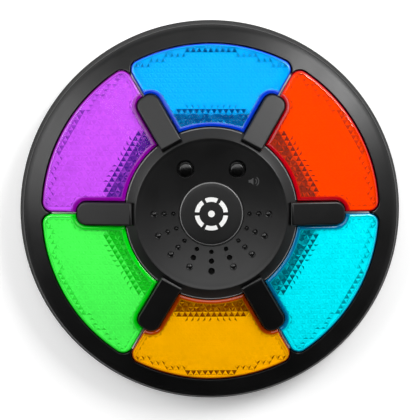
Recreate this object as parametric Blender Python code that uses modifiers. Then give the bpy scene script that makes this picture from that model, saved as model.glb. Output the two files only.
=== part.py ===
"""Electronic memory game: a round black casing with six coloured press pads round a spoked hub.

Metres, +Z up. The origin is on the table under the middle of the game, which stands on its rubber feet.
The blue pad points along +Y, and the others follow clockwise every 60 degrees.
"""

import math

import bmesh
import bpy
from mathutils import Matrix

# Driving sizes: the casing
BODY_RADIUS = 0.110
BEZEL_DRAFT = 0.0025
BEZEL_WIDTH = 0.0112
BEZEL_EDGE_ROUND = 0.0011
BEZEL_STEP = 0.0052
BEZEL_RISE = 0.0042
PART_LINE_Z = 0.0095
BASE_CURVE_WIDTH = 0.0065
BASE_CURVE_HEIGHT = 0.0052
LIP_HEIGHT = 0.0025
SHELL_WALL = 0.0020
FLOOR_WALL = 0.0020
FIT_GAP = 0.0003
OVERRUN = 0.0010
WELD_DISTANCE = 0.000001
BIG_STEPS = 48
PLATE_STEPS = 36
RING_STEPS = 18
ROUND_STEPS = 12
SMALL_STEPS = 8

# Driving sizes: the pads
PAD_COUNT = 6
PAD_FALL = 0.0080
PAD_CORNER_RADIUS = 0.0055
PAD_HALF_GAP = 0.00065
PAD_CLEARANCE = 0.0006
PAD_EDGE_ROUND = 0.0006
LENS_ROOF = 0.0020
LENS_WALL = 0.0016
FLANGE_REACH = 0.0015
FLANGE_THICK = 0.0015
PAD_TRAVEL = 0.0020
DIFFUSER_THICK = 0.0012
DIFFUSER_SETBACK = 0.0095
WELL_WALL = 0.0016
CUSP_HALF_WIDTH = 0.00025
GAP_SIDE_SHARE = 0.1
PAD_STEPS = 3
HIDDEN_STEPS = 2
LENS_STEPS = 24

# Driving sizes: the hub and its spokes
HUB_RADIUS = 0.0489
HUB_HEIGHT = 0.0152
HUB_EDGE_DROP = 0.0048
HUB_SLOPE_WIDTH = 0.0065
RIM_LAND = 0.0009
DISH_DEPTH = 0.0042
HUB_WALL = 0.0018
SPOKE_HALF_WIDTH = 0.0065
SPOKE_END_GAP = 0.0200
SPOKE_SETBACK = 0.0024
SPOKE_CORNER_RADIUS = 0.0054
SPOKE_PROUD = 0.0008
SPOKE_FALL = 0.0078
HUB_STEPS = 30
DISH_STEPS = 4

# Driving sizes: the badge, the push buttons and the speaker holes
BADGE_RADIUS = 0.0180
BADGE_GAP = 0.0005
BADGE_HEIGHT = 0.0016
BADGE_SINK = 0.0009
BADGE_EDGE = 0.0007
BADGE_CROWN = 0.0004
BADGE_FLOOR = 0.0012
BADGE_POST_RADIUS = 0.0030
BADGE_POST_LENGTH = 0.0040
BUTTON_PLACE_SHARE = 0.4393
BUTTON_ANGLES = (("power", 120), ("volume", 60))
BUTTON_RADIUS = 0.0040
BUTTON_PROUD = 0.0012
BUTTON_CROWN = 0.0009
BUTTON_FLANGE_RADIUS = 0.0056
BUTTON_FLANGE_THICK = 0.0012
BUTTON_STEM_RADIUS = 0.0016
BUTTON_TRAVEL = 0.0005
BUTTON_WELL_GAP = 0.0008
HOLE_RAYS = 9
HOLE_RAY_ANGLE = 22.5
HOLE_FIRST_ANGLE = 180.0
HOLE_PLACE_SHARES = (0.1255, 0.3431, 0.5774)
HOLE_SMALL_RADIUS = 0.0012
HOLE_MIDDLE_RADIUS = 0.00145
HOLE_LARGE_RADIUS = 0.0018
OPEN_HOLES = ((3, 0), (3, 1), (4, 0), (4, 1), (4, 2), (5, 0), (5, 1))
DIMPLE_DEPTH = 0.0009
DIMPLE_SIDES = 6

# Driving sizes: the inside
BOARD_LIFT = 0.0045
BOARD_THICK = 0.0016
BOARD_BAY_GAP = 0.0030
DIVIDER_THICK = 0.0012
DIVIDER_RIB_HALF = 0.00035
DIVIDER_RIB_DROP = 0.0010
DIVIDER_SETBACK = 0.0055
DOME_REACH = 0.0065
DOME_SPREAD = 0.0200
DOME_RADIUS = 0.0045
DOME_TOP_RADIUS = 0.0030
DOME_SKIRT = 0.0008
DOME_WEB_HALF = 0.0020
LED_PLACE_SHARE = 0.25
LED_RADIUS = 0.0025
LED_HEIGHT = 0.0042
LED_HOLE_GAP = 0.0015
POST_RADIUS = 0.0035
POST_SHOULDER = 0.0012
BOSS_RADIUS = 0.0050
SCREW_RADIUS = 0.0015
SCREW_PILOT_RADIUS = 0.0019
SCREW_HEAD_RADIUS = 0.0028
SCREW_HEAD_THICK = 0.0020
SCREW_HEAD_SINK = 0.0022
SCREW_BITE = 0.0070
RIB_HALF = 0.00075
RIB_HEIGHT = 0.0032
CHIP_LENGTH = 0.0140
CHIP_WIDTH = 0.0100
CHIP_THICK = 0.0014

# Driving sizes: feet, battery bay and door
FOOT_RADIUS = 0.0060
FOOT_STAND = 0.0015
FOOT_SINK = 0.0008
FOOT_MARGIN = 0.0155
FOOT_ANGLES = (45, 135, 225, 315)
CELL_RADIUS = 0.00725
CELL_LENGTH = 0.0493
CELL_BUTTON_LENGTH = 0.0012
CELL_BUTTON_RADIUS = 0.00275
CELL_COUNT = 3
CONTACT_THICK = 0.0005
CONTACT_NUB = 0.0008
CONTACT_WIDTH = 0.0100
CONTACT_NUB_RADIUS = 0.0020
TAIL_WIDTH = 0.0020
BAY_WALL = 0.0030
BAY_ROOF = 0.0016
DOOR_LEDGE = 0.0012
DOOR_CORNER = 0.0030
DOOR_TAB_WIDTH = 0.0080
DOOR_TAB_THICK = 0.0012
DOOR_TAB_REACH = 0.0018
DOOR_TAB_SPREAD = 0.0180
LATCH_HALF_WIDTH = 0.0060
LATCH_REACH = 0.0050

# Driving sizes: control board, its switches and the speaker
CONTROL_LOW_Y = 0.0050
SWITCH_SIDE = 0.0060
SWITCH_HEIGHT = 0.0035
SWITCH_STEM_RADIUS = 0.0017
STAKE_RADIUS = 0.0011
STAKE_POST_RADIUS = 0.0024
STAKE_PLACE_SHARES = ((0.85, 0.25), (-0.85, 0.25), (0.0, 0.9))
SPEAKER_RADIUS = 0.0142
SPEAKER_FLANGE_THICK = 0.0012
SPEAKER_BASKET_RADIUS = 0.0100
SPEAKER_BASKET_DEPTH = 0.0040
SPEAKER_MAGNET_RADIUS = 0.0085
SPEAKER_MAGNET_THICK = 0.0036
SPEAKER_COLLAR_WALL = 0.0014
SPEAKER_COLLAR_DEPTH = 0.0040
SPEAKER_STEPS = 12
LEAD_RADIUS = 0.0009
CABLE_RADIUS = 0.0011
CABLE_SHARES = (0.2, 0.35)

# Names and colours of the pads, clockwise from the one at +Y
PAD_COLOURS = (
    ("blue", (0.0, 0.35, 0.95)),
    ("red", (0.95, 0.06, 0.01)),
    ("cyan", (0.0, 0.75, 0.95)),
    ("orange", (0.98, 0.40, 0.0)),
    ("green", (0.06, 0.90, 0.06)),
    ("purple", (0.50, 0.06, 0.85)),
)

# Sizes worked out from those above: the plan
SECTOR = 2 * math.pi / PAD_COUNT
BEZEL_TOP_RADIUS = BODY_RADIUS - BEZEL_DRAFT
BASE_FLAT_RADIUS = BODY_RADIUS - BASE_CURVE_WIDTH
FOOT_PLACE_RADIUS = BASE_FLAT_RADIUS - FOOT_MARGIN
PAD_OUTER_RADIUS = BEZEL_TOP_RADIUS - BEZEL_WIDTH
PAD_INNER_RADIUS = HUB_RADIUS + PAD_CLEARANCE
PAD_MIDDLE_RADIUS = (PAD_INNER_RADIUS + PAD_OUTER_RADIUS) / 2
CUSP_RADIUS = PAD_OUTER_RADIUS - 2 * PAD_CORNER_RADIUS
DIFFUSER_CHORD = PAD_INNER_RADIUS + DIFFUSER_SETBACK
RIM_RADIUS = HUB_RADIUS - HUB_SLOPE_WIDTH
SPOKE_ROOT_RADIUS = RIM_RADIUS + SPOKE_SETBACK
SPOKE_TIP_RADIUS = PAD_OUTER_RADIUS - SPOKE_END_GAP
POST_PLACE_RADIUS = (HUB_RADIUS + SPOKE_TIP_RADIUS) / 2
BEZEL_POST_PLACE_RADIUS = PAD_OUTER_RADIUS + PAD_CLEARANCE + POST_RADIUS
LED_PLACE_RADIUS = PAD_INNER_RADIUS + (PAD_OUTER_RADIUS - PAD_INNER_RADIUS) * LED_PLACE_SHARE
CELL_PITCH = 2 * CELL_RADIUS + FIT_GAP
BAY_HALF_LENGTH = (CELL_LENGTH + CELL_BUTTON_LENGTH) / 2 + CONTACT_THICK + CONTACT_NUB + 2 * FIT_GAP
BAY_HALF_WIDTH = CELL_COUNT * CELL_PITCH / 2 + FIT_GAP
BOARD_INNER_RADIUS = math.hypot(BAY_HALF_LENGTH + BAY_WALL, BAY_HALF_WIDTH + BAY_WALL) + BOARD_BAY_GAP
BOARD_OUTER_RADIUS = PAD_OUTER_RADIUS - PAD_CLEARANCE
DIVIDER_INNER_RADIUS = BOARD_INNER_RADIUS + DIVIDER_SETBACK
CONTROL_RADIUS = HUB_RADIUS - 3 * HUB_WALL
STAKE_PLACES = [(CONTROL_RADIUS * across, CONTROL_RADIUS * up) for across, up in STAKE_PLACE_SHARES]
SPEAKER_Y = -(HUB_RADIUS - HUB_WALL + BADGE_POST_RADIUS) / 2
BADGE_SEAT_RADIUS = BADGE_RADIUS + BADGE_GAP
BUTTON_PLACE_RADIUS = BADGE_SEAT_RADIUS + (RIM_RADIUS - BADGE_SEAT_RADIUS) * BUTTON_PLACE_SHARE
HOLE_ROWS = [
    (BADGE_SEAT_RADIUS + (RIM_RADIUS - BADGE_SEAT_RADIUS) * share, radius)
    for share, radius in zip(HOLE_PLACE_SHARES, (HOLE_SMALL_RADIUS, HOLE_MIDDLE_RADIUS, HOLE_LARGE_RADIUS))
]

# Sizes worked out from those above: the levels, from the table up
BASE_Z = FOOT_STAND
FLOOR_TOP_Z = BASE_Z + FLOOR_WALL
CELL_Z = FLOOR_TOP_Z + FIT_GAP + CELL_RADIUS
BAY_ROOF_Z = CELL_Z + CELL_RADIUS + FIT_GAP
BAY_TOP_Z = BAY_ROOF_Z + BAY_ROOF
CONTROL_Z = BAY_TOP_Z + 2 * LEAD_RADIUS + 2 * FIT_GAP
RIM_Z = CONTROL_Z + HUB_HEIGHT
HUB_EDGE_Z = RIM_Z - HUB_EDGE_DROP
SPOKE_ROOT_Z = RIM_Z + SPOKE_PROUD
SPOKE_TIP_Z = SPOKE_ROOT_Z - SPOKE_FALL
PAD_INNER_Z = HUB_EDGE_Z
PAD_OUTER_Z = PAD_INNER_Z - PAD_FALL
BEZEL_SHOULDER_Z = PAD_OUTER_Z - BEZEL_STEP
BOARD_Z = FLOOR_TOP_Z + BOARD_LIFT
BOARD_TOP_Z = BOARD_Z + BOARD_THICK
DIVIDER_Z = BOARD_TOP_Z + FIT_GAP
DIVIDER_TOP_Z = DIVIDER_Z + DIVIDER_THICK
DIVIDER_RIB_Z = PAD_OUTER_Z - DIVIDER_RIB_DROP
BOSS_Z = DIVIDER_TOP_Z + FIT_GAP
FLANGE_Z = DIVIDER_TOP_Z + PAD_TRAVEL + PAD_CLEARANCE
FLANGE_TOP_Z = FLANGE_Z + FLANGE_THICK
STOP_Z = FLANGE_TOP_Z + FIT_GAP
DOME_Z = BOARD_TOP_Z + FIT_GAP
DOME_TOP_Z = FLANGE_Z - FIT_GAP
PAD_SLOPE = PAD_FALL / (PAD_OUTER_RADIUS - PAD_INNER_RADIUS)
SPOKE_SLOPE = SPOKE_FALL / (SPOKE_TIP_RADIUS - SPOKE_ROOT_RADIUS)
BEZEL_SLOPE = BEZEL_RISE / BEZEL_WIDTH

# The scene, its collections and its materials
for old in list(bpy.data.objects):
    bpy.data.objects.remove(old)

game = bpy.data.collections.new("electronic_memory_game")
bpy.context.scene.collection.children.link(game)
tools = bpy.data.collections.new("cutters")
bpy.context.scene.collection.children.link(tools)


def paint(name, colour, roughness, metallic=0.0):
    """A material with one plain colour."""
    made = bpy.data.materials.new(name)
    made.use_nodes = True
    shader = made.node_tree.nodes["Principled BSDF"]
    shader.inputs["Base Color"].default_value = (*colour, 1.0)
    shader.inputs["Roughness"].default_value = roughness
    shader.inputs["Metallic"].default_value = metallic
    made.diffuse_color = (*colour, 1.0)
    return made


BLACK_PLASTIC = paint("black_plastic", (0.012, 0.012, 0.013), 0.38)
BADGE_PLASTIC = paint("badge_plastic", (0.020, 0.020, 0.021), 0.32)
BUTTON_PLASTIC = paint("button_plastic", (0.010, 0.010, 0.010), 0.30)
WHITE_PLASTIC = paint("white_plastic", (0.85, 0.85, 0.84), 0.45)
SILICONE = paint("silicone", (0.55, 0.55, 0.55), 0.65)
BOARD_GREEN = paint("board_green", (0.02, 0.16, 0.06), 0.45)
CHIP_BLACK = paint("chip_black", (0.01, 0.01, 0.01), 0.35)
STEEL = paint("steel", (0.62, 0.62, 0.63), 0.30, 1.0)
CELL_SLEEVE = paint("cell_sleeve", (0.10, 0.10, 0.12), 0.35, 0.4)
LED_CLEAR = paint("led_clear", (0.85, 0.87, 0.88), 0.12)
CONE_PAPER = paint("cone_paper", (0.06, 0.06, 0.06), 0.8)
RUBBER = paint("rubber", (0.03, 0.03, 0.03), 0.85)
WIRE_SLEEVE = paint("wire_sleeve", (0.35, 0.02, 0.02), 0.5)
CABLE_SLEEVE = paint("cable_sleeve", (0.45, 0.45, 0.46), 0.5)


# Outlines and points
def polar(radius, angle):
    """The point at a radius and an angle in radians."""
    return (radius * math.cos(angle), radius * math.sin(angle))


def arc(centre, radius, start, end, steps):
    """Points along an arc, both ends included."""
    made = []
    for k in range(steps + 1):
        x, y = polar(radius, start + (end - start) * k / steps)
        made.append((centre[0] + x, centre[1] + y))
    return made


def circle(centre, radius, steps):
    """A closed round outline."""
    return arc(centre, radius, 0, 2 * math.pi, steps)[:-1]


def rectangle(low_x, low_y, high_x, high_y):
    """A closed outline with square corners."""
    return [(low_x, low_y), (high_x, low_y), (high_x, high_y), (low_x, high_y)]


def turned_points(points, angle):
    """Points turned about the game's axis."""
    across = math.cos(angle)
    along = math.sin(angle)
    return [(x * across - y * along, x * along + y * across) for x, y in points]


def pad_side(grow, steps):
    """One long side of a pad, outward, with X along the spoke and Y into the pad."""
    lateral = SPOKE_HALF_WIDTH + PAD_CLEARANCE - grow
    inner = PAD_INNER_RADIUS - grow
    side = PAD_HALF_GAP + (-grow if grow < 0 else grow * GAP_SIDE_SHARE)
    tip_round = SPOKE_CORNER_RADIUS + PAD_CLEARANCE - grow
    tip = (SPOKE_TIP_RADIUS - SPOKE_CORNER_RADIUS, SPOKE_HALF_WIDTH - SPOKE_CORNER_RADIUS)
    made = [(math.sqrt(inner * inner - lateral * lateral), lateral)]
    made += [point for point in arc(tip, tip_round, math.pi / 2, 0, steps) if point[1] > side]
    made.append((tip[0] + tip_round, side))
    return made + pad_corner(grow, side, steps)


def pad_corner(grow, side, steps):
    """The round outer corner of a pad, in the same directions, from the gap to the outer arc."""
    radius = PAD_CORNER_RADIUS + grow
    off = PAD_HALF_GAP + PAD_CORNER_RADIUS
    reach = PAD_OUTER_RADIUS - PAD_CORNER_RADIUS
    centre = (math.sqrt(reach * reach - off * off), off)
    start = math.asin(max((side - off) / radius, -1))
    return arc(centre, radius, start, math.atan2(off, centre[0]), steps)


def pad_outline(grow, steps):
    """The outline of the pad at +Y, grown all round but hardly across the gap to its neighbours."""
    right = turned_points(pad_side(grow, steps), math.pi / 2 - SECTOR / 2)
    left = [(-x, y) for x, y in reversed(right)]
    start = math.atan2(right[-1][1], right[-1][0])
    outer = arc((0, 0), PAD_OUTER_RADIUS + grow, start, math.pi - start, 2 * steps)[1:-1]
    low = math.atan2(right[0][1], right[0][0])
    inner = arc((0, 0), PAD_INNER_RADIUS - grow, math.pi - low, low, steps)[1:-1]
    return right + outer + left + inner


def well_outline(grow):
    """The six-lobed inner edge of the bezel round all the pads."""
    made = []
    for k in range(PAD_COUNT):
        right = turned_points(pad_corner(grow, CUSP_HALF_WIDTH, PAD_STEPS), math.pi / 2 - SECTOR / 2)
        left = [(-x, y) for x, y in reversed(right)]
        start = math.atan2(right[-1][1], right[-1][0])
        outer = arc((0, 0), PAD_OUTER_RADIUS + grow, start, math.pi - start, 2 * PAD_STEPS)[1:-1]
        made += turned_points(right + outer + left, k * SECTOR)
    return made


def spoke_outline(shrink, root, steps):
    """The outline of the spoke along +X, drawn in all round, with a square root and a round tip."""
    middle = SPOKE_TIP_RADIUS - SPOKE_CORNER_RADIUS
    off = SPOKE_HALF_WIDTH - SPOKE_CORNER_RADIUS
    radius = SPOKE_CORNER_RADIUS - shrink
    quarter = math.pi / 2
    made = [(root, shrink - SPOKE_HALF_WIDTH)]
    made += arc((middle, -off), radius, -quarter, 0, steps)
    made += arc((middle, off), radius, 0, quarter, steps)
    made.append((root, SPOKE_HALF_WIDTH - shrink))
    return made


# Solids
def helper(name, mesh):
    """A mesh object that cuts, joins or lends its mesh, and isn't a piece itself."""
    made = bpy.data.objects.new(name, mesh)
    made.hide_render = True
    made.display_type = "WIRE"
    tools.objects.link(made)
    return made


def piece(name, mesh, colour, smooth=True):
    """A named piece of the game."""
    made = bpy.data.objects.new(name, mesh)
    if not mesh.materials:
        mesh.materials.append(colour)
    if smooth:
        mesh.shade_smooth()
        mesh.set_sharp_from_angle(angle=math.radians(32))
    game.objects.link(made)
    return made


def mesh_of(thing):
    """The mesh of an object as its modifiers leave it, in the game's frame."""
    bpy.context.view_layer.update()
    graph = bpy.context.evaluated_depsgraph_get()
    made = bpy.data.meshes.new_from_object(thing.evaluated_get(graph))
    made.transform(thing.matrix_world)
    shape = bmesh.new()
    shape.from_mesh(made)
    bmesh.ops.remove_doubles(shape, verts=shape.verts, dist=WELD_DISTANCE)
    bmesh.ops.recalc_face_normals(shape, faces=shape.faces)
    shape.to_mesh(made)
    shape.free()
    return made


def plate(name, loops, low, high):
    """A flat plate with its outlines, the holes among them, between two levels."""
    curve = bpy.data.curves.new(name, "CURVE")
    curve.dimensions = "2D"
    curve.fill_mode = "BOTH"
    curve.extrude = (high - low) / 2
    for points in loops:
        spline = curve.splines.new("POLY")
        spline.points.add(len(points) - 1)
        for spot, (x, y) in zip(spline.points, points):
            spot.co = (x, y, 0, 1)
        spline.use_cyclic_u = True
    guide = bpy.data.objects.new(name, curve)
    guide.location.z = (high + low) / 2
    tools.objects.link(guide)
    mesh = mesh_of(guide)
    bpy.data.objects.remove(guide)
    return helper(name, mesh)


def turned(name, profile, steps, closed=False, at=(0, 0)):
    """A profile of radius and height, outer side running down, turned about a vertical axis."""
    mesh = bpy.data.meshes.new(name)
    count = len(profile)
    edges = [(k, k + 1) for k in range(count - 1)]
    if closed:
        edges.append((count - 1, 0))
    mesh.from_pydata([(radius, 0, z) for radius, z in profile], edges, [])
    guide = helper(name, mesh)
    guide.location = (at[0], at[1], 0)
    screw = guide.modifiers.new("turn", "SCREW")
    screw.steps = steps
    screw.render_steps = steps
    screw.use_merge_vertices = True
    screw.merge_threshold = WELD_DISTANCE
    mesh = mesh_of(guide)
    bpy.data.objects.remove(guide)
    return helper(name, mesh)


def cylinders(name, rows, sides):
    """Separate upright cylinders, each with its centre, radius and two levels, in one mesh."""
    shape = bmesh.new()
    for x, y, radius, low, high in rows:
        bmesh.ops.create_cone(
            shape,
            cap_ends=True,
            segments=sides,
            radius1=radius,
            radius2=radius,
            depth=high - low,
            matrix=Matrix.Translation((x, y, (low + high) / 2)),
        )
    mesh = bpy.data.meshes.new(name)
    shape.to_mesh(mesh)
    shape.free()
    return helper(name, mesh)


def boxes(name, rows):
    """Separate boxes, each with its low and high corner, in one mesh."""
    shape = bmesh.new()
    for low, high in rows:
        middle = [(a + b) / 2 for a, b in zip(low, high)]
        size = [b - a for a, b in zip(low, high)]
        place = Matrix.Translation(middle) @ Matrix.Diagonal((*size, 1))
        bmesh.ops.create_cube(shape, size=1, matrix=place)
    mesh = bpy.data.meshes.new(name)
    shape.to_mesh(mesh)
    shape.free()
    return helper(name, mesh)


def combine(target, operation, other):
    """Adds a Boolean with another solid to a solid, and gives the solid back."""
    made = target.modifiers.new(operation.lower(), "BOOLEAN")
    made.operation = operation
    made.solver = "EXACT"
    made.object = other
    return target


def tube(name, points, radius, colour):
    """A round wire along its points."""
    curve = bpy.data.curves.new(name, "CURVE")
    curve.dimensions = "3D"
    curve.bevel_depth = radius
    curve.bevel_resolution = 1
    curve.use_fill_caps = True
    spline = curve.splines.new("POLY")
    spline.points.add(len(points) - 1)
    for spot, point in zip(spline.points, points):
        spot.co = (*point, 1)
    guide = bpy.data.objects.new(name, curve)
    tools.objects.link(guide)
    mesh = mesh_of(guide)
    bpy.data.objects.remove(guide)
    return piece(name, mesh, colour)


def dish_z(radius):
    """Height of the hub's concave top at a radius."""
    share = radius / RIM_RADIUS
    return RIM_Z - DISH_DEPTH * (1 - share * share)


def bezel_wall_radius(z):
    """Outer radius of the bezel's drafted wall at a height."""
    share = (z - PART_LINE_Z) / (BEZEL_SHOULDER_Z - PART_LINE_Z)
    return BODY_RADIUS - (BODY_RADIUS - BEZEL_TOP_RADIUS) * share


def bezel_z(radius):
    """Height of the bezel's sloping top at a radius."""
    return BEZEL_SHOULDER_Z + BEZEL_EDGE_ROUND + (BEZEL_TOP_RADIUS - radius) * BEZEL_SLOPE


def pad_z(radius):
    """Height of a pad's top at a radius."""
    return PAD_OUTER_Z + (PAD_OUTER_RADIUS - radius) * PAD_SLOPE


def spoke_z(radius):
    """Height of a spoke's top at a radius."""
    return SPOKE_ROOT_Z - (radius - SPOKE_ROOT_RADIUS) * SPOKE_SLOPE


def spoke_angles(first, step):
    """Every so many of the spokes' angles."""
    return [SECTOR * k for k in range(first, PAD_COUNT, step)]


HUB_SCREW_SPOTS = [polar(POST_PLACE_RADIUS, angle) for angle in spoke_angles(0, 2)]
BEZEL_SCREW_SPOTS = [polar(BEZEL_POST_PLACE_RADIUS, angle) for angle in spoke_angles(1, 2)]


# The casing
def make_base():
    """The lower casing with its battery bay, posts, ribs and screw holes."""
    lip_radius = bezel_wall_radius(PART_LINE_Z + LIP_HEIGHT) - SHELL_WALL - FIT_GAP
    lip_inner = lip_radius - SHELL_WALL + FIT_GAP
    reach = BODY_RADIUS - BASE_FLAT_RADIUS
    outer = []
    for across, down in arc((0, 0), 1, 0, -math.pi / 2, HIDDEN_STEPS):
        outer.append((BASE_FLAT_RADIUS + across * reach, BASE_Z + BASE_CURVE_HEIGHT * (1 + down)))
    profile = [(0, FLOOR_TOP_Z), (BASE_FLAT_RADIUS, FLOOR_TOP_Z)]
    profile.append((lip_inner, BASE_Z + BASE_CURVE_HEIGHT))
    profile.append((lip_inner, PART_LINE_Z + LIP_HEIGHT))
    profile.append((lip_radius, PART_LINE_Z + LIP_HEIGHT))
    profile.append((lip_radius, PART_LINE_Z - FIT_GAP))
    profile.append((BODY_RADIUS, PART_LINE_Z - FIT_GAP))
    profile += outer
    profile.append((0, BASE_Z))
    base = turned("base_profile", profile, BIG_STEPS)

    sunk = FLOOR_TOP_Z - FLOOR_WALL / 2
    ribs = []
    for k in range(PAD_COUNT):
        ribs.append(turned_points(rectangle(POST_PLACE_RADIUS, -RIB_HALF, lip_inner, RIB_HALF), k * SECTOR))
    combine(base, "UNION", plate("base_ribs", ribs, sunk, FLOOR_TOP_Z + RIB_HEIGHT))
    wide = POST_RADIUS + POST_SHOULDER
    low = BOARD_Z - FIT_GAP
    shoulders = [(x, y, wide, sunk, low) for x, y in HUB_SCREW_SPOTS]
    combine(base, "UNION", cylinders("post_feet", shoulders, SMALL_STEPS))
    spots = HUB_SCREW_SPOTS + BEZEL_SCREW_SPOTS
    tops = [(x, y, POST_RADIUS, sunk, DIVIDER_TOP_Z) for x, y in spots]
    combine(base, "UNION", cylinders("posts", tops, SMALL_STEPS))

    long = BAY_HALF_LENGTH + BAY_WALL
    wide = BAY_HALF_WIDTH + BAY_WALL
    combine(base, "UNION", boxes("bay_outside", [((-long, -wide, sunk), (long, wide, BAY_TOP_Z))]))
    inside = (-BAY_HALF_LENGTH, -BAY_HALF_WIDTH, sunk), (BAY_HALF_LENGTH, BAY_HALF_WIDTH, BAY_ROOF_Z)
    combine(base, "DIFFERENCE", boxes("bay_inside", [inside]))
    opening = door_outline(FIT_GAP)
    low = BASE_Z - OVERRUN
    high = FLOOR_TOP_Z + FIT_GAP
    combine(base, "DIFFERENCE", plate("door_opening", [opening], low, high))
    latch = latch_box(FIT_GAP, low - OVERRUN, high + FIT_GAP)
    combine(base, "DIFFERENCE", boxes("latch_opening", [latch]))
    combine(base, "DIFFERENCE", boxes("tab_slots", tab_slots()))
    slots = [tail_way(side, y) for side, y in tail_spots()]
    combine(base, "DIFFERENCE", plate("tail_slots", slots, BAY_ROOF_Z - OVERRUN, BAY_TOP_Z + OVERRUN))

    holes = []
    for x, y in HUB_SCREW_SPOTS + BEZEL_SCREW_SPOTS:
        holes.append((x, y, SCREW_PILOT_RADIUS, BASE_Z - OVERRUN, DIVIDER_TOP_Z + OVERRUN))
    combine(base, "DIFFERENCE", cylinders("screw_ways", holes, SMALL_STEPS))
    sinks = []
    for x, y, radius, bottom, top in holes:
        sinks.append((x, y, SCREW_HEAD_RADIUS + FIT_GAP, bottom, BASE_Z + SCREW_HEAD_SINK))
    combine(base, "DIFFERENCE", cylinders("screw_sinks", sinks, SMALL_STEPS))
    seats = [(x, y, FOOT_RADIUS + FIT_GAP, BASE_Z - OVERRUN, BASE_Z + FOOT_SINK) for x, y in foot_spots()]
    combine(base, "DIFFERENCE", cylinders("foot_seats", seats, ROUND_STEPS))
    piece("base_shell", mesh_of(base), BLACK_PLASTIC)


def make_bezel():
    """The outer ring with its six-lobed well wall and three screw bosses."""
    inner = SHELL_WALL
    shoulder = (BEZEL_TOP_RADIUS, BEZEL_SHOULDER_Z)
    edge = arc((shoulder[0] - BEZEL_EDGE_ROUND, shoulder[1]), BEZEL_EDGE_ROUND, 0, math.pi / 2, HIDDEN_STEPS)
    wall_radius = PAD_OUTER_RADIUS + PAD_CLEARANCE + WELL_WALL
    under = BEZEL_SHOULDER_Z - SHELL_WALL
    profile = [(CUSP_RADIUS, STOP_Z), (CUSP_RADIUS, bezel_z(CUSP_RADIUS))]
    profile += list(reversed(edge))
    profile.append((BODY_RADIUS, PART_LINE_Z))
    profile.append((BODY_RADIUS - inner, PART_LINE_Z))
    profile.append((bezel_wall_radius(under) - inner, under))
    profile.append((wall_radius, bezel_z(wall_radius) - inner))
    profile.append((wall_radius, STOP_Z))
    bezel = turned("bezel_profile", profile, BIG_STEPS, closed=True)
    spots = []
    roof = bezel_z(BEZEL_POST_PLACE_RADIUS + POST_RADIUS) - inner / 2
    for x, y in BEZEL_SCREW_SPOTS:
        spots.append((x, y, POST_RADIUS, BOSS_Z, roof))
    combine(bezel, "UNION", cylinders("bezel_bosses", spots, SMALL_STEPS))
    cut = plate("well", [well_outline(PAD_CLEARANCE)], BOSS_Z - OVERRUN, bezel_z(CUSP_RADIUS) + OVERRUN)
    combine(bezel, "DIFFERENCE", cut)
    combine(bezel, "DIFFERENCE", screw_bites("bezel_bites", BEZEL_SCREW_SPOTS))
    piece("bezel_ring", mesh_of(bezel), BLACK_PLASTIC)


def screw_bites(name, spots):
    """The blind holes that the case screws turn into."""
    rows = []
    for x, y in spots:
        rows.append((x, y, SCREW_RADIUS + FIT_GAP, BOSS_Z - OVERRUN, BOSS_Z + SCREW_BITE + FIT_GAP))
    return cylinders(name, rows, SMALL_STEPS)


def foot_spots():
    """Centres of the rubber feet."""
    return [polar(FOOT_PLACE_RADIUS, math.radians(angle)) for angle in FOOT_ANGLES]


def make_feet():
    """Rubber feet set in the base, with a chamfered lower edge."""
    for number, (x, y) in enumerate(foot_spots(), 1):
        top = BASE_Z + FOOT_SINK - FIT_GAP
        profile = [(0, top), (FOOT_RADIUS, top), (FOOT_RADIUS, FOOT_STAND / 2)]
        profile += [(FOOT_RADIUS - FOOT_STAND / 2, 0), (0, 0)]
        foot = turned(f"foot_{number}", profile, ROUND_STEPS, at=(x, y))
        piece(f"rubber_foot_{number}", mesh_of(foot), RUBBER)


def make_case_screws():
    """Pan-head screws, three into the hub's spokes and three into the bezel."""
    head_z = BASE_Z + SCREW_HEAD_SINK - FIT_GAP
    for number, (x, y) in enumerate(HUB_SCREW_SPOTS + BEZEL_SCREW_SPOTS, 1):
        profile = [(0, BOSS_Z + SCREW_BITE), (SCREW_RADIUS, BOSS_Z + SCREW_BITE - SCREW_RADIUS)]
        profile += [(SCREW_RADIUS, head_z), (SCREW_HEAD_RADIUS, head_z)]
        profile += [(SCREW_HEAD_RADIUS, head_z - SCREW_HEAD_THICK / 2)]
        profile += [(SCREW_HEAD_RADIUS - SCREW_HEAD_THICK / 2, head_z - SCREW_HEAD_THICK + FIT_GAP)]
        profile += [(0, head_z - SCREW_HEAD_THICK + FIT_GAP)]
        screw = turned(f"screw_{number}", profile, SMALL_STEPS, at=(x, y))
        piece(f"case_screw_{number}", mesh_of(screw), STEEL)


# The hub
def hub_profile(sink):
    """The hub's turned outside, sunk by a depth."""
    made = []
    for k in range(DISH_STEPS + 1):
        radius = RIM_RADIUS * k / DISH_STEPS
        made.append((radius, dish_z(radius) - sink))
    made.append((RIM_RADIUS + RIM_LAND, RIM_Z - sink))
    made.append((HUB_RADIUS - sink, HUB_EDGE_Z - sink))
    return made


def hub_inside():
    """The hub's turned inside: level under the badge, then rising to the rim."""
    return [
        (0, roof_z(0)),
        (roof_turn_radius(), roof_z(0)),
        (RIM_RADIUS, RIM_Z - HUB_WALL),
        (HUB_RADIUS - HUB_WALL, HUB_EDGE_Z - HUB_WALL),
    ]


def roof_turn_radius():
    """Where the hub's inner roof starts to rise."""
    return BADGE_SEAT_RADIUS + HUB_WALL


def roof_z(radius):
    """Height of the hub's inner roof at a radius inside the rim."""
    level = badge_floor_z() - BADGE_FLOOR
    share = max(radius - roof_turn_radius(), 0) / (RIM_RADIUS - roof_turn_radius())
    return level + (RIM_Z - HUB_WALL - level) * share


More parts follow.
